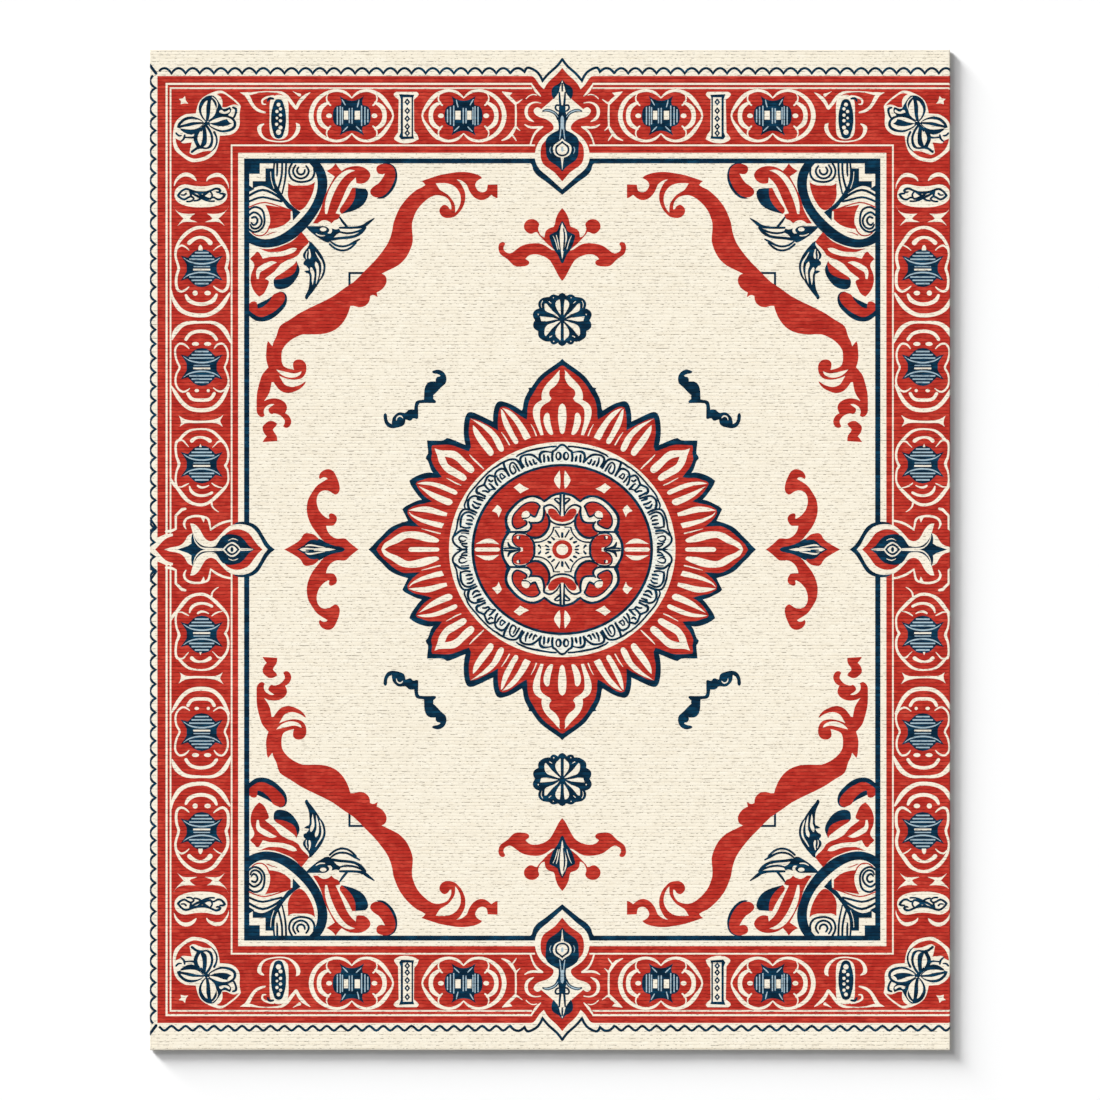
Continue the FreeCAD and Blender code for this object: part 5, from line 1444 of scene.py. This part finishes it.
def stitches(name, starts, directions, node, z):
    """Stitches of six-sided section, swelling to STITCH wide in the middle, each along its own direction."""
    along = np.array([-1.0, -0.86, -0.5, 0.0, 0.5, 0.86, 1.0]) * STITCH_LONG / 2
    swell = np.array([0.3, 0.72, 0.97, 1.0, 0.97, 0.72, 0.3])
    a = np.arange(6) * np.pi / 3
    side = swell[:, None] * np.cos(a) * STITCH_WIDE / 2
    up = swell[:, None] * np.sin(a) * STITCH_TALL / 2
    d = directions[:, None, None, :]
    normal = np.stack([-directions[:, 1], directions[:, 0]], 1)[:, None, None, :]
    flat = starts[:, None, None, :] + d * along[None, :, None, None] + normal * side[None, :, :, None]
    height = np.broadcast_to(z + up, flat.shape[:3])
    verts = np.concatenate([flat, height[..., None]], 3).reshape(-1, 3)
    number = np.arange(len(starts) * 42).reshape(-1, 7, 6)
    after = np.roll(number, -1, 2)
    faces = np.stack([number[:, :-1], after[:, :-1], after[:, 1:], number[:, 1:]], 3).reshape(-1, 4)[:, ::-1]
    caps = np.vstack([number[:, 0], number[:, -1, ::-1]])
    piece = mesh_piece(name, verts, [faces[:, ::-1], caps[:, ::-1]], MATERIALS["thread"],
                       smooth_shade=True)
    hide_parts(node)
    return piece


def make_stitches():
    made = []
    for side in ("left", "right", "near_end", "far_end"):
        end = (HALF_Y if side in ("left", "right") else HALF_X) - SEAM - 3
        along = np.linspace(-end, end, int(2 * end / STITCH_PITCH))
        x, y = placed_at_side(side, along, SEAM)
        starts = np.stack(np.broadcast_arrays(x, y), 1)
        direction = [[0.0, 1.0]] if side in ("left", "right") else [[1.0, 0.0]]
        directions = np.broadcast_to(direction, starts.shape)
        made.append(stitches("stitches_" + side, starts, directions, "seam_thread_" + side, STITCH_Z))
    t = np.linspace(*MITRE_STITCHES)
    corners = np.array([(-1, -1), (1, -1), (1, 1), (-1, 1)])
    starts = (corners[:, None, :] * ((HALF_X, HALF_Y) - t[None, :, None])).reshape(-1, 2)
    directions = np.repeat(corners, len(t), 0) / np.sqrt(2)
    made.append(stitches("stitches_mitres", starts, directions, "mitre_threads", MITRE_STITCH_Z))
    return made


def slab(name, xs, ys, low, high, material, node):
    """A closed slab over the grid xs by ys, from the heights low to high, each a number or a (y, x) grid."""
    x, y = np.meshgrid(xs, ys)
    low = np.broadcast_to(low, x.shape)
    high = np.broadcast_to(high, x.shape)
    verts = np.concatenate([np.stack([x, y, z], 2).reshape(-1, 3) for z in (high, low)])
    number = np.arange(x.size).reshape(x.shape)
    top = np.stack([number[:-1, :-1], number[:-1, 1:], number[1:, 1:], number[1:, :-1]], 2).reshape(-1, 4)
    ring = np.concatenate([number[0], number[1:, -1], number[-1, -2::-1], number[-2:0:-1, 0]])
    following = np.roll(ring, -1)
    wall = np.stack([ring + x.size, following + x.size, following, ring], 1)
    piece = mesh_piece(name, verts, [np.vstack([top, top[:, ::-1] + x.size, wall])], material)
    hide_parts(node)
    return piece


def make_layers():
    """The backing cloth with its label, and above it the felt, the latex coat and the woven ground."""
    inner_x, inner_y = HALF_X - FLANGE, HALF_Y - FLANGE
    label_x, label_y = -inner_x + LABEL_IN, -inner_y
    dip_x = np.array([label_x, label_x + LABEL[0]])
    dip_y = np.array([label_y, label_y + LABEL[1]])
    edge_x = np.concatenate([dip_x, dip_x + (-0.2, 0.2)])
    edge_y = np.array([dip_y[1], dip_y[1] + 0.2])
    xs = np.unique(np.concatenate([np.linspace(-inner_x, inner_x, 110), edge_x]))
    ys = np.unique(np.concatenate([np.linspace(-inner_y, inner_y, 138), edge_y]))
    x, y = np.meshgrid(xs, ys)
    far = np.minimum(inner_x - np.abs(x), inner_y - np.abs(y)) / SWAY_EDGE
    sway = SWAY * (1 + np.sin(x / 71 + 2 * np.sin(y / 190)) * np.sin(y / 83 + 1.5 * np.sin(x / 150)))
    in_dip = (x > dip_x[0] - 0.1) & (x < dip_x[1] + 0.1) & (y < dip_y[1] + 0.1)
    low = np.where(in_dip, LABEL_THICK, sway * far.clip(0, 1))
    backing = slab("backing_weave", xs, ys, low, FLANGE_THICK, MATERIALS["backing"],
        "backing_cloth")
    label_xs, label_ys = np.linspace(*dip_x, 9), np.linspace(*dip_y, 13)
    label = slab("label_strip", label_xs, label_ys, 0.0, LABEL_THICK, MATERIALS["label"],
        "care_label")
    wide, long = np.linspace(-FACE_X, FACE_X, 41), np.linspace(-FACE_Y, FACE_Y, 51)
    cushion = slab("felt_layer", wide, long, FLANGE_THICK, FELT_TOP, MATERIALS["felt"],
        "cushion_felt")
    coat = slab("latex_layer", wide, long, FELT_TOP, LATEX_TOP, MATERIALS["latex"],
        "latex_coat")
    ground = slab("ground_weave", wide, long, LATEX_TOP, FACE_BASE, MATERIALS["ground"],
        "woven_ground")
    return backing, label, cushion, coat, ground


# ---------------------------------------------------------------- floor, light and camera
def make_stage():
    bpy.ops.mesh.primitive_plane_add(size=16, location=(0, 0, FLOOR_Z))
    floor = bpy.context.object
    floor.name = "floor"
    floor.data.materials.append(MATERIALS["floor"])
    scene = bpy.context.scene
    scene.world = bpy.data.worlds.new("soft_room")
    scene.world.use_nodes = True
    background = scene.world.node_tree.nodes["Background"]
    background.inputs["Color"].default_value = (1, 1, 1, 1)
    background.inputs["Strength"].default_value = ROOM_LIGHT
    for name, strength, height, bearing, size, only in SUNS:
        light = bpy.data.lights.new(name, "SUN")
        light.energy = strength
        light.angle = np.radians(size)
        lamp = bpy.data.objects.new(name, light)
        lamp.rotation_euler = (np.radians(90 - height), 0, np.radians(90 + bearing))
        bpy.context.collection.objects.link(lamp)
        lit = bpy.data.collections.new("lit_by_" + name)
        rug = [thing for thing in scene.objects if thing.type == "MESH" and thing != floor]
        for thing in [floor] if only == "floor" else rug:
            lit.objects.link(thing)
        lamp.light_linking.receiver_collection = lit
    camera = bpy.data.cameras.new("camera")
    camera.sensor_width = SENSOR
    camera.lens = SENSOR * CAMERA_UP / VIEW_WIDE
    camera.clip_end = 100
    eye = bpy.data.objects.new("camera", camera)
    eye.location = (0, 0, CAMERA_UP)
    bpy.context.collection.objects.link(eye)
    scene.camera = eye
    scene.view_settings.view_transform = "Standard"


MATERIALS = make_materials()
draw_pattern()
placed = [(piece, outline + (PATTERN_X, PATTERN_Y)) for piece, outline in layers]
face = make_face()
ribs = rib_lines()[2]
hems = [make_hem(side, ribs) for side in ("left", "right", "near_end", "far_end")]
threads = make_stitches()
backing, label, cushion, coat, ground = make_layers()
make_stage()
